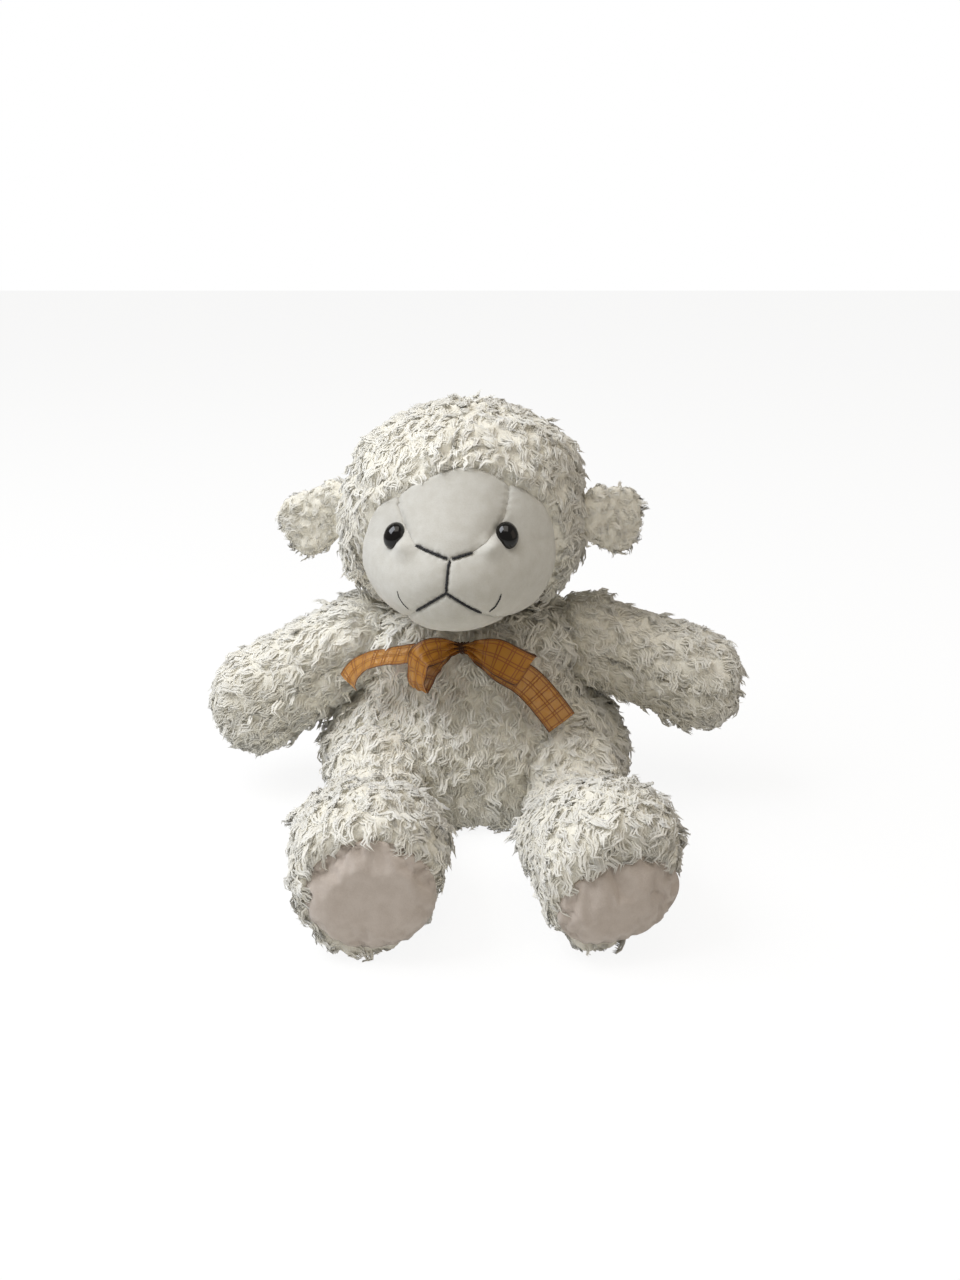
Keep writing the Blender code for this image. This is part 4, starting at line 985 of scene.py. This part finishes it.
def inside(outline, x, z):
    """True if a point lies within an outline, by counting the sides it looks across."""
    odd = False
    for (ax, az), (bx, bz) in zip(outline, [*outline[1:], outline[0]]):
        if (az > z) != (bz > z) and x < (bx - ax) * (z - az) / (bz - az) + ax:
            odd = not odd
    return odd


FAR = 0.09
GUSSET = [(SEAM_LINES[0][0][0], FAR), *SEAM_LINES[0], *reversed(SEAM_LINES[1][:-1]), (SEAM_LINES[1][0][0], FAR)]
CHIN = [*reversed(SEAM_LINES[3]), *SEAM_LINES[4][1:], (-FAR, -FAR), (FAR, -FAR)]
LEFT_HALF = [(NOSE_CORNER[0], FAR), NOSE_CORNER, *SEAM_LINES[2][1:], (LIP_CORNER[0], -FAR), (FAR, -FAR), (FAR, FAR)]


def panel_of(place):
    for panel, outline in (("gusset", GUSSET), ("chin", CHIN), ("cheek_left", LEFT_HALF)):
        if inside(outline, place.x, place.z):
            return panel
    return "cheek_right"


ball = bmesh.new()
bmesh.ops.create_icosphere(ball, subdivisions=7, radius=1.0)
away = [corner for corner in ball.verts if corner.co.y > 0.05]
bmesh.ops.delete(ball, geom=away, context="VERTS")
for corner in ball.verts:
    corner.co = face_point(corner.co.copy())
away = [corner for corner in ball.verts if corner.co.y > FACE_FRONT_OF or share_of_face(corner.co) > FACE_HEM]
bmesh.ops.delete(ball, geom=away, context="VERTS")
for start, end in SEAM_STRETCHES:
    middles = ((face, face.calc_center_median()) for face in ball.faces)
    near = [face for face, middle in middles if to_line(middle.x, middle.z, start, end)[0] < CUT_REACH]
    parts = dict.fromkeys(item for face in near for item in (*face.verts, *face.edges))
    run = Vector(end) - Vector(start)
    bmesh.ops.bisect_plane(ball, geom=[*near, *parts], dist=1e-6, plane_co=(start[0], 0.0, start[1]),
                           plane_no=(run.y, 0.0, -run.x))
bmesh.ops.remove_doubles(ball, verts=ball.verts, dist=0.00005)
ball.normal_update()
lifts = [(corner, corner.normal * face_height(corner.co)) for corner in ball.verts]
for corner, lift in lifts:
    corner.co += lift
bmesh.ops.recalc_face_normals(ball, faces=ball.faces)
if sum(face.normal.y for face in ball.faces) > 0.0:
    bmesh.ops.reverse_faces(ball, faces=ball.faces)
FACE_TREE = BVHTree.FromBMesh(ball)
print("face", len(ball.faces), "faces")

# %% [markdown]
# Velboa looks matt and even, with a pale bloom where its short fibres point at the light. Where
# its nap lies differently, over some 5 mm, it catches the light differently, and this is painted
# into the colour as lighter and darker patches: painted sheen. The fibres give a fine grain of
# about 0.4 mm, which is drawn at 0.6 mm so that it shows.

# %% Smooth face finish
NAP_SHEEN_PATCH, NAP_GRAIN, NAP_GRAIN_SHARE = 0.0050, 0.0006, 0.35


def velboa(name, light, dark):
    made, tree, shader = finish_named(name, {
        "Roughness": 0.85, "Specular IOR Level": 0.20, "Sheen Weight": 0.35, "Sheen Roughness": 0.55})
    spots = add(tree, "ShaderNodeTexCoord").outputs["Object"]
    # Painted sheen: patches of about 5 mm are painted lighter and darker, as nap that catches the light differently.
    # The fine grain mixed in is the fibres' own.
    sheen_patch = add(tree, "ShaderNodeTexNoise", {"Vector": spots, "Scale": 1.0 / NAP_SHEEN_PATCH, "Detail": 3.0}).outputs[0]
    grain = add(tree, "ShaderNodeTexNoise", {"Vector": spots, "Scale": 1.0 / NAP_GRAIN, "Detail": 2.0}).outputs[0]
    part = add(tree, "ShaderNodeMath", {0: grain, 1: NAP_GRAIN_SHARE}, operation="MULTIPLY").outputs[0]
    both = {0: sheen_patch, 1: 1.0 - NAP_GRAIN_SHARE, 2: part}
    blend = add(tree, "ShaderNodeMath", both, operation="MULTIPLY_ADD").outputs[0]
    tint = add(tree, "ShaderNodeValToRGB", {"Fac": blend}, ramp=((0.36, dark), (0.62, light)))
    tree.links.new(tint.outputs["Color"], shader.inputs["Base Color"])
    rough = {"Height": blend, "Strength": 0.55, "Distance": 0.0006}
    tree.links.new(add(tree, "ShaderNodeBump", rough).outputs["Normal"], shader.inputs["Normal"])
    return made


face_velboa = velboa("white velboa, short even pile", "DCDAD2", "D2CFC5")
print("finish", face_velboa.name)

# %% [markdown]
# The shaped ball is parted into its four panels by the seams' outlines, seen from the front. Each
# gets the thickness of velboa, inwards, so that the seams stay where they are.

# %% Face panels
VELBOA_THICKNESS, SMOOTH_FILL = 0.0018, 0.8
FACE_NODES = {"gusset": "face_gusset", "cheek_left": "face_cheek_left", "cheek_right": "face_cheek_right",
              "chin": "face_chin_panel"}
for panel, node in FACE_NODES.items():
    own = ball.copy()
    other = [face for face in own.faces if panel_of(face.calc_center_median()) != panel]
    bmesh.ops.delete(own, geom=other, context="FACES")
    bmesh.ops.transform(own, matrix=HEAD, verts=own.verts)
    made = shown(f"face_{panel}_cloth", own, face_velboa)
    modified(made, "cloth", "SOLIDIFY", thickness=VELBOA_THICKNESS, offset=-1.0)
    belongs(applied(made), "head", node)
ball.free()

# %% [markdown]
# The eyes are moulded from black plastic and polished. Each is an oval dome on a stem, pushed through
# the cloth and locked behind it with a white washer. A turned shape is what spin is for: half of the
# eye's outline goes once round the stem, and is then squeezed to an oval.

# %% Eyes
EYE_HALF_WIDTH, EYE_HALF_HEIGHT, EYE_DOME, EYE_BACK = 0.0054, 0.0065, 0.0046, 0.0006
EYE_STEM, EYE_STEM_LENGTH, EYE_PROUD, DOME_STEPS = 0.0020, 0.0100, 0.0004, 12
EYE_AROUND = ((0.0060, 0.0), (-0.0060, 0.0), (0.0, 0.0068), (0.0, -0.0068))
eye_black, tree, shader = finish_named("black eye plastic, moulded and polished", {
    "Base Color": linear("0B0A0A"), "Roughness": 0.09, "IOR": 1.49, "Coat Weight": 0.1, "Coat Roughness": 0.03})


def facing(place, normal):
    """A frame at a place with its X along the surface's normal and its Z as nearly up as it can be."""
    level = Vector((0.0, 0.0, 1.0)).cross(normal).normalized()
    spot = Matrix((normal, level, normal.cross(level))).transposed().to_4x4()
    spot.translation = place
    return spot


def on_face(x, z):
    """Where a line along the head's +Y meets the face, and the face's normal there."""
    place, normal, _, _ = FACE_TREE.ray_cast(Vector((x, -0.2, z)), Vector((0.0, 1.0, 0.0)))
    return place, normal


for side, (x, z) in EYES.items():
    bm = bmesh.new()
    rim = -2 * EYE_BACK
    outline = [(-EYE_STEM_LENGTH, 0.0), (-EYE_STEM_LENGTH, EYE_STEM), (rim, EYE_STEM),
               (rim, 0.94 * EYE_HALF_HEIGHT), (-EYE_BACK, EYE_HALF_HEIGHT)]
    for step in range(1, DOME_STEPS + 1):
        angle = math.radians(step * 90.0 / DOME_STEPS)
        outline.append((EYE_DOME * math.sin(angle), EYE_HALF_HEIGHT * math.cos(angle)))
    corners = [bm.verts.new((along, 0.0, out)) for along, out in outline]
    edges = [bm.edges.new(pair) for pair in zip(corners, corners[1:])]
    bmesh.ops.spin(bm, geom=[*corners, *edges], axis=(1.0, 0.0, 0.0), cent=(0.0, 0.0, 0.0),
                   steps=48, angle=math.tau, use_merge=True)
    bmesh.ops.remove_doubles(bm, verts=bm.verts, dist=1e-6)
    bmesh.ops.scale(bm, vec=(1.0, EYE_HALF_WIDTH / EYE_HALF_HEIGHT, 1.0), verts=bm.verts)
    round_it = [on_face(x + aside, z + up)[0] for aside, up in EYE_AROUND]
    normal = (round_it[0] - round_it[1]).cross(round_it[2] - round_it[3]).normalized()
    normal = -normal if normal.y > 0.0 else normal
    spot = facing(on_face(x, z)[0] + normal * EYE_PROUD, normal)
    bmesh.ops.transform(bm, matrix=HEAD @ spot, verts=bm.verts)
    belongs(made_of(f"eye_{side}_dome", bm, eye_black), "head", f"eye_{side}")

# %% [markdown]
# The washers stay as the CAD model has them: flat moulded discs that nobody sees. They only get the
# finish of natural white plastic. It, threads and fill look alike in one way: their colour varies
# over a fine grain or over fibres that are thinner than a hair. One function makes that.

# %% Washers


def fine_grained(name, dark, light, grain, sockets, detail=2.0, curl=0.0, bump=None):
    """A finish whose colour varies over a fine grain of the given size."""
    made, tree, shader = finish_named(name, sockets)
    spots = add(tree, "ShaderNodeTexCoord").outputs["Object"]
    noisy = {"Vector": spots, "Scale": 1.0 / grain, "Detail": detail, "Distortion": curl}
    fibre = add(tree, "ShaderNodeTexNoise", noisy).outputs[0]
    tint = add(tree, "ShaderNodeValToRGB", {"Fac": fibre}, ramp=((0.0, dark), (1.0, light)))
    tree.links.new(tint.outputs["Color"], shader.inputs["Base Color"])
    if bump:
        raised = add(tree, "ShaderNodeBump", {"Height": fibre, **bump})
        tree.links.new(raised.outputs["Normal"], shader.inputs["Normal"])
    return made


washer_white = fine_grained("natural white washer plastic", "DCDCD6", "EAEAE5", 0.0008, {"Roughness": 0.42})
for side in ("left", "right"):
    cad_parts[f"eye_{side}_washer"].material_slots[0].material = washer_white
print("finish", washer_white.name)

# %% [markdown]
# Nose and mouth are sewn by hand with black floss that lies in the seams. Floss is plied: two
# strands twisted round each other, here with a turn in every 2.6 mm. Each ply is a tube along a
# coil round the line. The smile's ends are sewn with less floss and sink into the pile.

# %% Black floss
FLOSS_TURN, FLOSS_PLY, FLOSS_STEP, FLOSS_PROUD, PLY_SPREAD, PLY_SIDES = 0.0026, 0.00036, 0.00035, 0.0005, 0.85, 8
STITCHES = {
    "stitch_nose": ((((-0.0136, -0.0103), (0.0018, -0.0152)), 1.0), (((0.0034, -0.0152), (0.0123, -0.0124)), 1.0)),
    "stitch_lip_line": ((((0.0025, -0.0158), (0.0022, -0.0236), (0.0017, -0.0304)), 1.0),),
    "stitch_mouth": (
        (((-0.0129, -0.0402), (0.0017, -0.0306), (0.0164, -0.0403)), 1.0),
        (((0.0200, -0.0398), (0.0228, -0.0372), (0.0248, -0.0335), (0.0254, -0.0312)), 0.60),
        (((-0.0165, -0.0398), (-0.0190, -0.0372), (-0.0210, -0.0340), (-0.0216, -0.0312)), 0.34),
    ),
}
floss_black = fine_grained("black embroidery floss, plied cotton", "0D0D0F", "26262A", 0.0003,
                           {"Roughness": 0.6, "Sheen Weight": 0.2})


def even_points(corners, step):
    """Points at even steps along straight lines through the corners."""
    found = []
    for start, end in zip(corners, corners[1:]):
        run = Vector(end) - Vector(start)
        count = max(1, round(run.length / step))
        found += [Vector(start) + run * index / count for index in range(count)]
    return [*found, Vector(corners[-1])]


def heading(path, index):
    return (path[min(index + 1, len(path) - 1)] - path[max(index - 1, 0)]).normalized()


def plied(name, lines, look, turn, ply):
    """Two plies round each line of (place, outward) points. A line's third item scales its weight."""
    bm = bmesh.new()
    for places, ways, weight in lines:
        travelled, spines, last = 0.0, [], len(places) - 1
        for index, place in enumerate(places):
            travelled += (place - places[max(index - 1, 0)]).length
            ahead = heading(places, index)
            aside = ahead.cross(ways[index]).normalized()
            spines.append((place, aside, aside.cross(ahead).normalized(), math.tau * travelled / turn))
        for start in (0.0, math.pi):
            away = PLY_SPREAD * ply * weight
            path = [place + away * (math.cos(angle + start) * aside + math.sin(angle + start) * up)
                    for place, aside, up, angle in spines]
            loops = []
            for index, place in enumerate(path):
                ahead = heading(path, index)
                aside = ahead.cross(spines[index][2]).normalized()
                half = ply * weight * min(1.0, 0.35 + 0.65 * min(index, last - index) / 3)
                loops.append(ring(bm, place, aside * half, ahead.cross(aside) * half, PLY_SIDES))
            bridged(bm, loops)
            for end in (loops[0], loops[-1]):
                bmesh.ops.contextual_create(bm, geom=end)
    return made_of(name, bm, look)


for name, lines in STITCHES.items():
    laid = []
    for corners, weight in lines:
        spots = [on_face(*point) for point in even_points(corners, FLOSS_STEP)]
        places = [HEAD @ (place + normal * FLOSS_PROUD * weight) for place, normal in spots]
        laid.append((places, [HEAD.to_3x3() @ normal for _, normal in spots], weight))
    made = plied(name + "_floss", laid, floss_black, FLOSS_TURN, FLOSS_PLY)
    belongs(made, "head", name)

# %% [markdown]
# Each sole is a padded oval of short beige plush, cut a little larger than the opening at the leg's
# end. Sewn in, it is gathered along the edge, and the fill domes it. The folds could be drawn with a
# sine, but cloth simulation gives them as they really come: the oval is held along its edge, its
# cloth grows by 14 percent, and the fill's pressure pushes it out.

# %% Soles
SOLE_SIDES, SOLE_RINGS, SOLE_EDGE, SOLE_CROWN = 84, 22, 0.0018, 0.0015
SOLE_TUCKED, SOLE_UNEVEN, SOLE_UNEVEN_SIZE = (-0.0030, 0.96), 0.0003, 0.004
SOLE_GROWTH, SOLE_PRESSURE, SOLE_MOMENTS, SOLE_MOST = 0.14, 40.0, 20, 0.0085
# The soles' beige plush has the same painted sheen patches as the face's velboa.
sole_plush = velboa("beige velboa, short worn pile", "D3C7BC", "C8BBAF")


def filled_out(made, sewn):
    """The cloth after the fill has pushed it out. The sewn points, given by number, stay."""
    made.vertex_groups.new(name="sewn").add(sewn, 1.0, "REPLACE")
    fabric = modified(made, "pushed out by the fill", "CLOTH").settings
    fabric.vertex_group_mass = "sewn"
    fabric.mass = 0.001
    fabric.shrink_min = -SOLE_GROWTH
    fabric.use_pressure = True
    fabric.uniform_pressure_force = SOLE_PRESSURE
    fabric.effector_weights.gravity = 0.0
    for moment in range(1, SOLE_MOMENTS + 1):
        bpy.context.scene.frame_set(moment)
    applied(made)
    bpy.context.scene.frame_set(1)


for side, (middle, wide, high, outward) in SOLES.items():
    levels = [SOLE_TUCKED, (0.0, 1.0), (SOLE_EDGE, 1.0)]
    for step in range(1, SOLE_RINGS):
        size = 1.0 - step / SOLE_RINGS
        levels.append((SOLE_EDGE + SOLE_CROWN * (1.0 - size**2), size))
    bm = bmesh.new()
    loops = [ring(bm, middle + outward * rise, wide * size, high * size, SOLE_SIDES) for rise, size in levels]
    bridged(bm, loops)
    bmesh.ops.contextual_create(bm, geom=loops[-1])
    for corner in bm.verts:
        corner.co += outward * SOLE_UNEVEN * noise.noise(corner.co / SOLE_UNEVEN_SIZE)
    bmesh.ops.recalc_face_normals(bm, faces=bm.faces)
    if sum(face.normal.dot(outward) for face in bm.faces) < 0.0:
        bmesh.ops.reverse_faces(bm, faces=bm.faces)
    made = shown(f"sole_{side}_pad", bm, sole_plush)
    filled_out(made, list(range(3 * SOLE_SIDES)))
    for corner in made.data.vertices:
        rise = (corner.co - middle).dot(outward)
        corner.co += outward * (min(rise, SOLE_MOST) - rise)
        corner.co.z = max(corner.co.z, FLOOR_CLEAR)
    modified(made, "cloth", "SOLIDIFY", thickness=VELBOA_THICKNESS, offset=-1.0)
    belongs(applied(made), f"leg_{side}", f"foot_{side}_sole")

# %% [markdown]
# Organza is a sheer plain weave of fine twisted filament, dyed golden orange. Pairs of darker
# threads make a check on it, and a dark thread is woven along each edge. One sees the fur
# through a single layer, and the loops look darker because they are two layers. The filaments are
# 0.25 mm apart, too fine to show, so the weave is drawn at 0.5 mm.

# %% Organza finish
RIBBON_WIDTH, RIBBON_THICKNESS = 0.0160, 0.00016
CHECK, CHECK_LINE, CHECK_GAP, EDGE_LINE, WEAVE = 0.0062, 0.00050, 0.0015, 0.00055, 0.0005
SHEER_COVER, LINE_COVER = 0.56, 0.42
organza, tree, shader = finish_named("golden organza with a woven check", {"Roughness": 0.38, "Sheen Weight": 0.12})
strip = add(tree, "ShaderNodeUVMap", uv_map="UVMap").outputs["UV"]
parts = add(tree, "ShaderNodeSeparateXYZ", {0: strip}).outputs
lines = []
for axis in ("X", "Y"):
    moved = add(tree, "ShaderNodeMath", {0: parts[axis], 1: 10 * CHECK}, operation="ADD").outputs[0]
    folded = add(tree, "ShaderNodeMath", {0: moved, 1: CHECK / 2}, operation="PINGPONG").outputs[0]
    pair = {0: folded, 1: CHECK_GAP / 2, 2: CHECK_LINE / 2}
    lines.append(add(tree, "ShaderNodeMath", pair, operation="COMPARE").outputs[0])
checks = add(tree, "ShaderNodeMath", {0: lines[0], 1: lines[1]}, operation="MAXIMUM").outputs[0]
aside = add(tree, "ShaderNodeMath", {0: parts["X"]}, operation="ABSOLUTE").outputs[0]
limits = {0: aside, 1: RIBBON_WIDTH / 2 - EDGE_LINE}
edge = add(tree, "ShaderNodeMath", limits, operation="GREATER_THAN").outputs[0]
turns = {0: strip, 1: (math.tau / WEAVE, math.tau / WEAVE, 1.0)}
turned = add(tree, "ShaderNodeVectorMath", turns, operation="MULTIPLY").outputs[0]
waves = add(tree, "ShaderNodeVectorMath", {0: turned}, operation="SINE").outputs[0]
parts = add(tree, "ShaderNodeSeparateXYZ", {0: waves}).outputs
crossed = add(tree, "ShaderNodeMath", {0: parts["X"], 1: parts["Y"]}, operation="MULTIPLY").outputs[0]
weave = add(tree, "ShaderNodeMath", {0: crossed, 1: 0.5, 2: 0.5}, operation="MULTIPLY_ADD").outputs[0]
colour = linear("D48E29")
for share, code in ((weave, "E1A038"), (checks, "8A4C02"), (edge, "5A3208")):
    colour = add(tree, "ShaderNodeMix", {0: share, 6: colour, 7: linear(code)}, data_type="RGBA").outputs[2]
tree.links.new(colour, shader.inputs["Base Color"])
covers = {0: checks, 1: LINE_COVER, 2: SHEER_COVER}
sheer = add(tree, "ShaderNodeMath", covers, operation="MULTIPLY_ADD").outputs[0]
cover = add(tree, "ShaderNodeMath", {0: sheer, 1: edge}, operation="MAXIMUM").outputs[0]
tree.links.new(cover, shader.inputs["Alpha"])
raised = add(tree, "ShaderNodeMath", {0: weave, 1: checks}, operation="MAXIMUM").outputs[0]
bump = add(tree, "ShaderNodeBump", {"Height": raised, "Distance": 0.0001, "Strength": 0.4})
tree.links.new(bump.outputs["Normal"], shader.inputs["Normal"])
print("finish", organza.name)

# %% [markdown]
# The bow is 16 mm organza ribbon: two loops and two tails, gathered in the middle and tacked to the
# chest with brown thread. Each run starts as a flat strip, which is what its UV map keeps, in
# metres. The strip's rows are then laid along a smooth path. Where the ribbon is gathered its
# width doesn't shrink but folds, so the rows get folds there in proportion. A station is a place in
# ribbon widths from the knot, how the row leans and lies back, and what share of the width is open.

# %% Ribbon runs
KNOT_RADIUS, TACK_THREAD, KNOT_PROUD, BOW_ASIDE = 0.0026, 0.0007, 0.0009, 0.0060
BOW_HEIGHT = 0.945 * TORSO_HEIGHT
GATHER_FOLDS, GATHER_DEPTH, RIPPLE = 3.0, 0.0022, 0.0012
RIBBON_RUNS = {
    "bow_tail_right": (
        (-0.10, -0.02, 0.02, 0.0, 0.0, 0.22), (-0.60, -0.05, 0.02, -10.0, 40.0, 0.60),
        (-1.20, -0.08, -0.10, -14.0, 66.0, 0.92), (-1.72, 0.00, -0.20, -20.0, 76.0, 1.00),
        (-2.28, 0.14, -0.32, -30.0, 80.0, 1.00), (-2.84, 0.30, -0.50, -48.0, 78.0, 1.00),
        (-3.25, 0.42, -0.80, -62.0, 70.0, 1.00), (-3.48, 0.48, -1.14, -66.0, 60.0, 1.00),
        (-3.56, 0.50, -1.34, -66.0, 52.0, 1.00)),
    "bow_tail_left": (
        (0.10, -0.02, 0.00, 0.0, 0.0, 0.22), (0.55, -0.26, -0.16, 30.0, 0.0, 0.60),
        (1.20, -0.50, -0.46, 30.0, 0.0, 0.92), (1.80, -0.66, -0.72, 31.0, 4.0, 1.00),
        (2.28, -0.74, -1.14, 33.0, 8.0, 1.00), (2.74, -0.76, -1.72, 33.0, 10.0, 1.00),
        (3.06, -0.74, -2.18, 30.0, 10.0, 1.00)),
    "bow_loop_right": (
        (-0.10, -0.06, 0.00, 0.0, 0.0, 0.24), (-0.50, -0.44, 0.12, -12.0, 10.0, 0.66),
        (-0.92, -0.72, 0.14, -30.0, 20.0, 0.84), (-1.24, -0.86, 0.00, -62.0, 40.0, 0.90),
        (-1.35, -0.85, -0.42, -84.0, 50.0, 0.88), (-1.36, -0.81, -0.90, -88.0, 50.0, 0.86),
        (-1.27, -0.73, -1.10, -88.0, 50.0, 0.86), (-1.16, -0.64, -0.84, -84.0, 50.0, 0.86),
        (-1.00, -0.46, -0.38, -50.0, 30.0, 0.86), (-0.62, -0.26, -0.12, -14.0, 6.0, 0.60),
        (-0.10, -0.03, 0.00, 0.0, 0.0, 0.22)),
    "bow_loop_left": (
        (0.10, -0.06, 0.00, 0.0, 0.0, 0.24), (0.45, -0.40, 0.06, 16.0, 8.0, 0.66),
        (1.00, -0.68, 0.00, 18.0, 10.0, 1.06), (1.48, -0.78, -0.22, 28.0, 8.0, 1.10),
        (1.84, -0.72, -0.44, 38.0, 8.0, 1.10), (1.96, -0.60, -0.50, 39.0, 8.0, 1.08),
        (1.80, -0.50, -0.44, 36.0, 8.0, 1.04), (1.30, -0.42, -0.20, 26.0, 8.0, 0.96),
        (0.65, -0.26, -0.04, 14.0, 4.0, 0.64), (0.10, -0.03, 0.00, 0.0, 0.0, 0.22)),
}
chest_bm = torso_form(0.0)
bmesh.ops.triangulate(chest_bm, faces=chest_bm.faces)
before_chest = Vector((-BOW_ASIDE, -0.2, BOW_HEIGHT))
chest, chest_way, _, _ = BVHTree.FromBMesh(chest_bm).ray_cast(before_chest, Vector((0.0, 1.0, 0.0)))
chest_bm.free()
KNOT = chest + chest_way * (KNOT_RADIUS + TACK_THREAD + KNOT_PROUD)
print("knot at", [round(number, 4) for number in KNOT])


def ribbon_strip(name, stations):
    """A flat strip laid along the run. Returns the object and the strip's real length."""
    samples = smoothed(stations, 9)
    places = [KNOT + RIBBON_WIDTH * Vector(sample[:3]) for sample in samples]
    travelled = [0.0]
    for before, after in zip(places, places[1:]):
        travelled.append(travelled[-1] + (after - before).length)
    rows = len(places) - 1
    bm = bmesh.new()
    bmesh.ops.create_grid(bm, x_segments=24, y_segments=rows, size=0.5)
    flat = bm.loops.layers.uv.new("UVMap")
    for face in bm.faces:
        for loop in face.loops:
            row = round((loop.vert.co.y + 0.5) * rows)
            loop[flat].uv = (loop.vert.co.x * RIBBON_WIDTH, travelled[row])
    for corner in bm.verts:
        row, aside = round((corner.co.y + 0.5) * rows), 2.0 * corner.co.x
        ahead = heading(places, row)
        lean, back, share = math.radians(samples[row][3]), math.radians(samples[row][4]), samples[row][5]
        width = Vector((math.sin(lean) * math.cos(back), math.sin(back), math.cos(lean) * math.cos(back)))
        width = (width - ahead * width.dot(ahead)).normalized()
        skin = ahead.cross(width).normalized()
        folds = math.sin(math.pi * GATHER_FOLDS * aside + 9.0 * travelled[row] / RIBBON_WIDTH)
        ripple = RIPPLE * noise.noise(Vector((aside * 0.7, travelled[row] / 0.011, samples[0][0] * 30.0)))
        off = skin * (GATHER_DEPTH * max(0.0, 1.0 - share) * folds + ripple)
        corner.co = places[row] + width * aside * share * RIBBON_WIDTH / 2 + off
    made = shown(name, bm, organza)
    modified(made, "weave", "SOLIDIFY", thickness=RIBBON_THICKNESS, offset=0.0)
    return applied(made), travelled[-1]


for name, stations in RIBBON_RUNS.items():
    made, length = ribbon_strip(name, stations)
    belongs(made, "torso", "bow_ribbon")
    print(name, "flat length in mm", round(length * 1000))

# %% [markdown]
# The middle of the bow is a bundle of folds. The brown thread goes round it five times, a little
# crossed as hand sewing is, and holds it on the chest.

# %% Knot and thread
BUNDLE_HALF, BUNDLE_RINGS, BUNDLE_FOLDS, FOLD_DEPTH = 0.0036, 12, 7, 0.16
TACK_TURNS, TACK_PITCH, TACK_STEPS, TACK_TILT = 5, 0.0010, 36, 0.0009
TACK_TURN, TACK_PLY = 0.0016, 0.00019
rings = []
for step in range(BUNDLE_RINGS + 1):
    along = between(-1.0, 1.0, step / BUNDLE_RINGS)
    size = KNOT_RADIUS * (0.78 + 0.35 * along**2)
    place = KNOT + Vector((along * BUNDLE_HALF, 0.0, 0.0))
    rings.append((place, Vector((0.0, size, 0.0)), Vector((0.0, 0.0, size))))
bundle = lofted(rings, 56)
for corner in bundle.verts:
    here = corner.co - KNOT
    folds = math.sin(BUNDLE_FOLDS * math.atan2(here.z, here.y) + here.x * 300.0)
    corner.co += Vector((0.0, here.y, here.z)) * FOLD_DEPTH * folds
made = made_of("bow_gathered_middle", bundle, organza)
made.data.uv_layers.new(name="UVMap")
belongs(made, "torso", "bow_ribbon")
thread_brown = fine_grained("brown sewing thread, spun polyester", "3A2210", "6B421E", 0.0003, {"Roughness": 0.65})
chance = random.Random(4)
lines = []
for turn in range(TACK_TURNS):
    places, ways = [], []
    tilt = chance.uniform(-TACK_TILT, TACK_TILT)
    for step in range(TACK_STEPS + 1):
        angle = math.tau * step / TACK_STEPS
        out = Vector((0.0, -math.sin(angle), math.cos(angle)))
        aside = (turn - (TACK_TURNS - 1) / 2) * TACK_PITCH + tilt * math.cos(angle)
        places.append(KNOT + Vector((aside, 0.0, 0.0)) + out * (KNOT_RADIUS + 0.0001))
        ways.append(out)
    lines.append((places, ways, 1.0))
made = plied("tack_thread", lines, thread_brown, TACK_TURN, TACK_PLY)
belongs(made, "torso", "bow_tack_thread")

# %% [markdown]
# Fill is crimped polyester fibre. Nothing of it shows, but it is what gives each form its shape, so
# the torso, neck, head, arms and legs each get their own, a lumpy and slightly smaller copy of the
# form around it.

# %% Fibre fill
FILL_LUMP, FILL_LUMP_SIZE, FILL_FULL, FILL_GAP = 0.0008, 0.011, 0.9, 0.0012
UNDER = {"neck": 0.0, "head": 0.0062}
fibre_fill = fine_grained("crimped polyester fibre fill", "DFDFDF", "F6F6F6", 0.0012, {"Roughness": 0.95},
                          detail=4.0, curl=2.0, bump={"Distance": 0.0008, "Strength": 0.8})
neck_ball = bmesh.new()
bmesh.ops.create_icosphere(neck_ball, subdivisions=4, radius=NECK_BALL - 0.0006)
FORMS["neck"] = form_mesh(neck_ball, NECK)
for body in ("torso", "neck", "head", "arm_left", "arm_right", "leg_left", "leg_right"):
    bm = bmesh.new()
    bm.from_mesh(FORMS[body])
    bm.normal_update()
    under = UNDER.get(body, CLOTH_THICKNESS + FILL_GAP)
    for corner in bm.verts:
        corner.co -= corner.normal * (under + FILL_LUMP * noise.noise(corner.co / FILL_LUMP_SIZE))
    belongs(made_of(f"{body}_fill", bm, fibre_fill), body, f"{body}_stuffing")
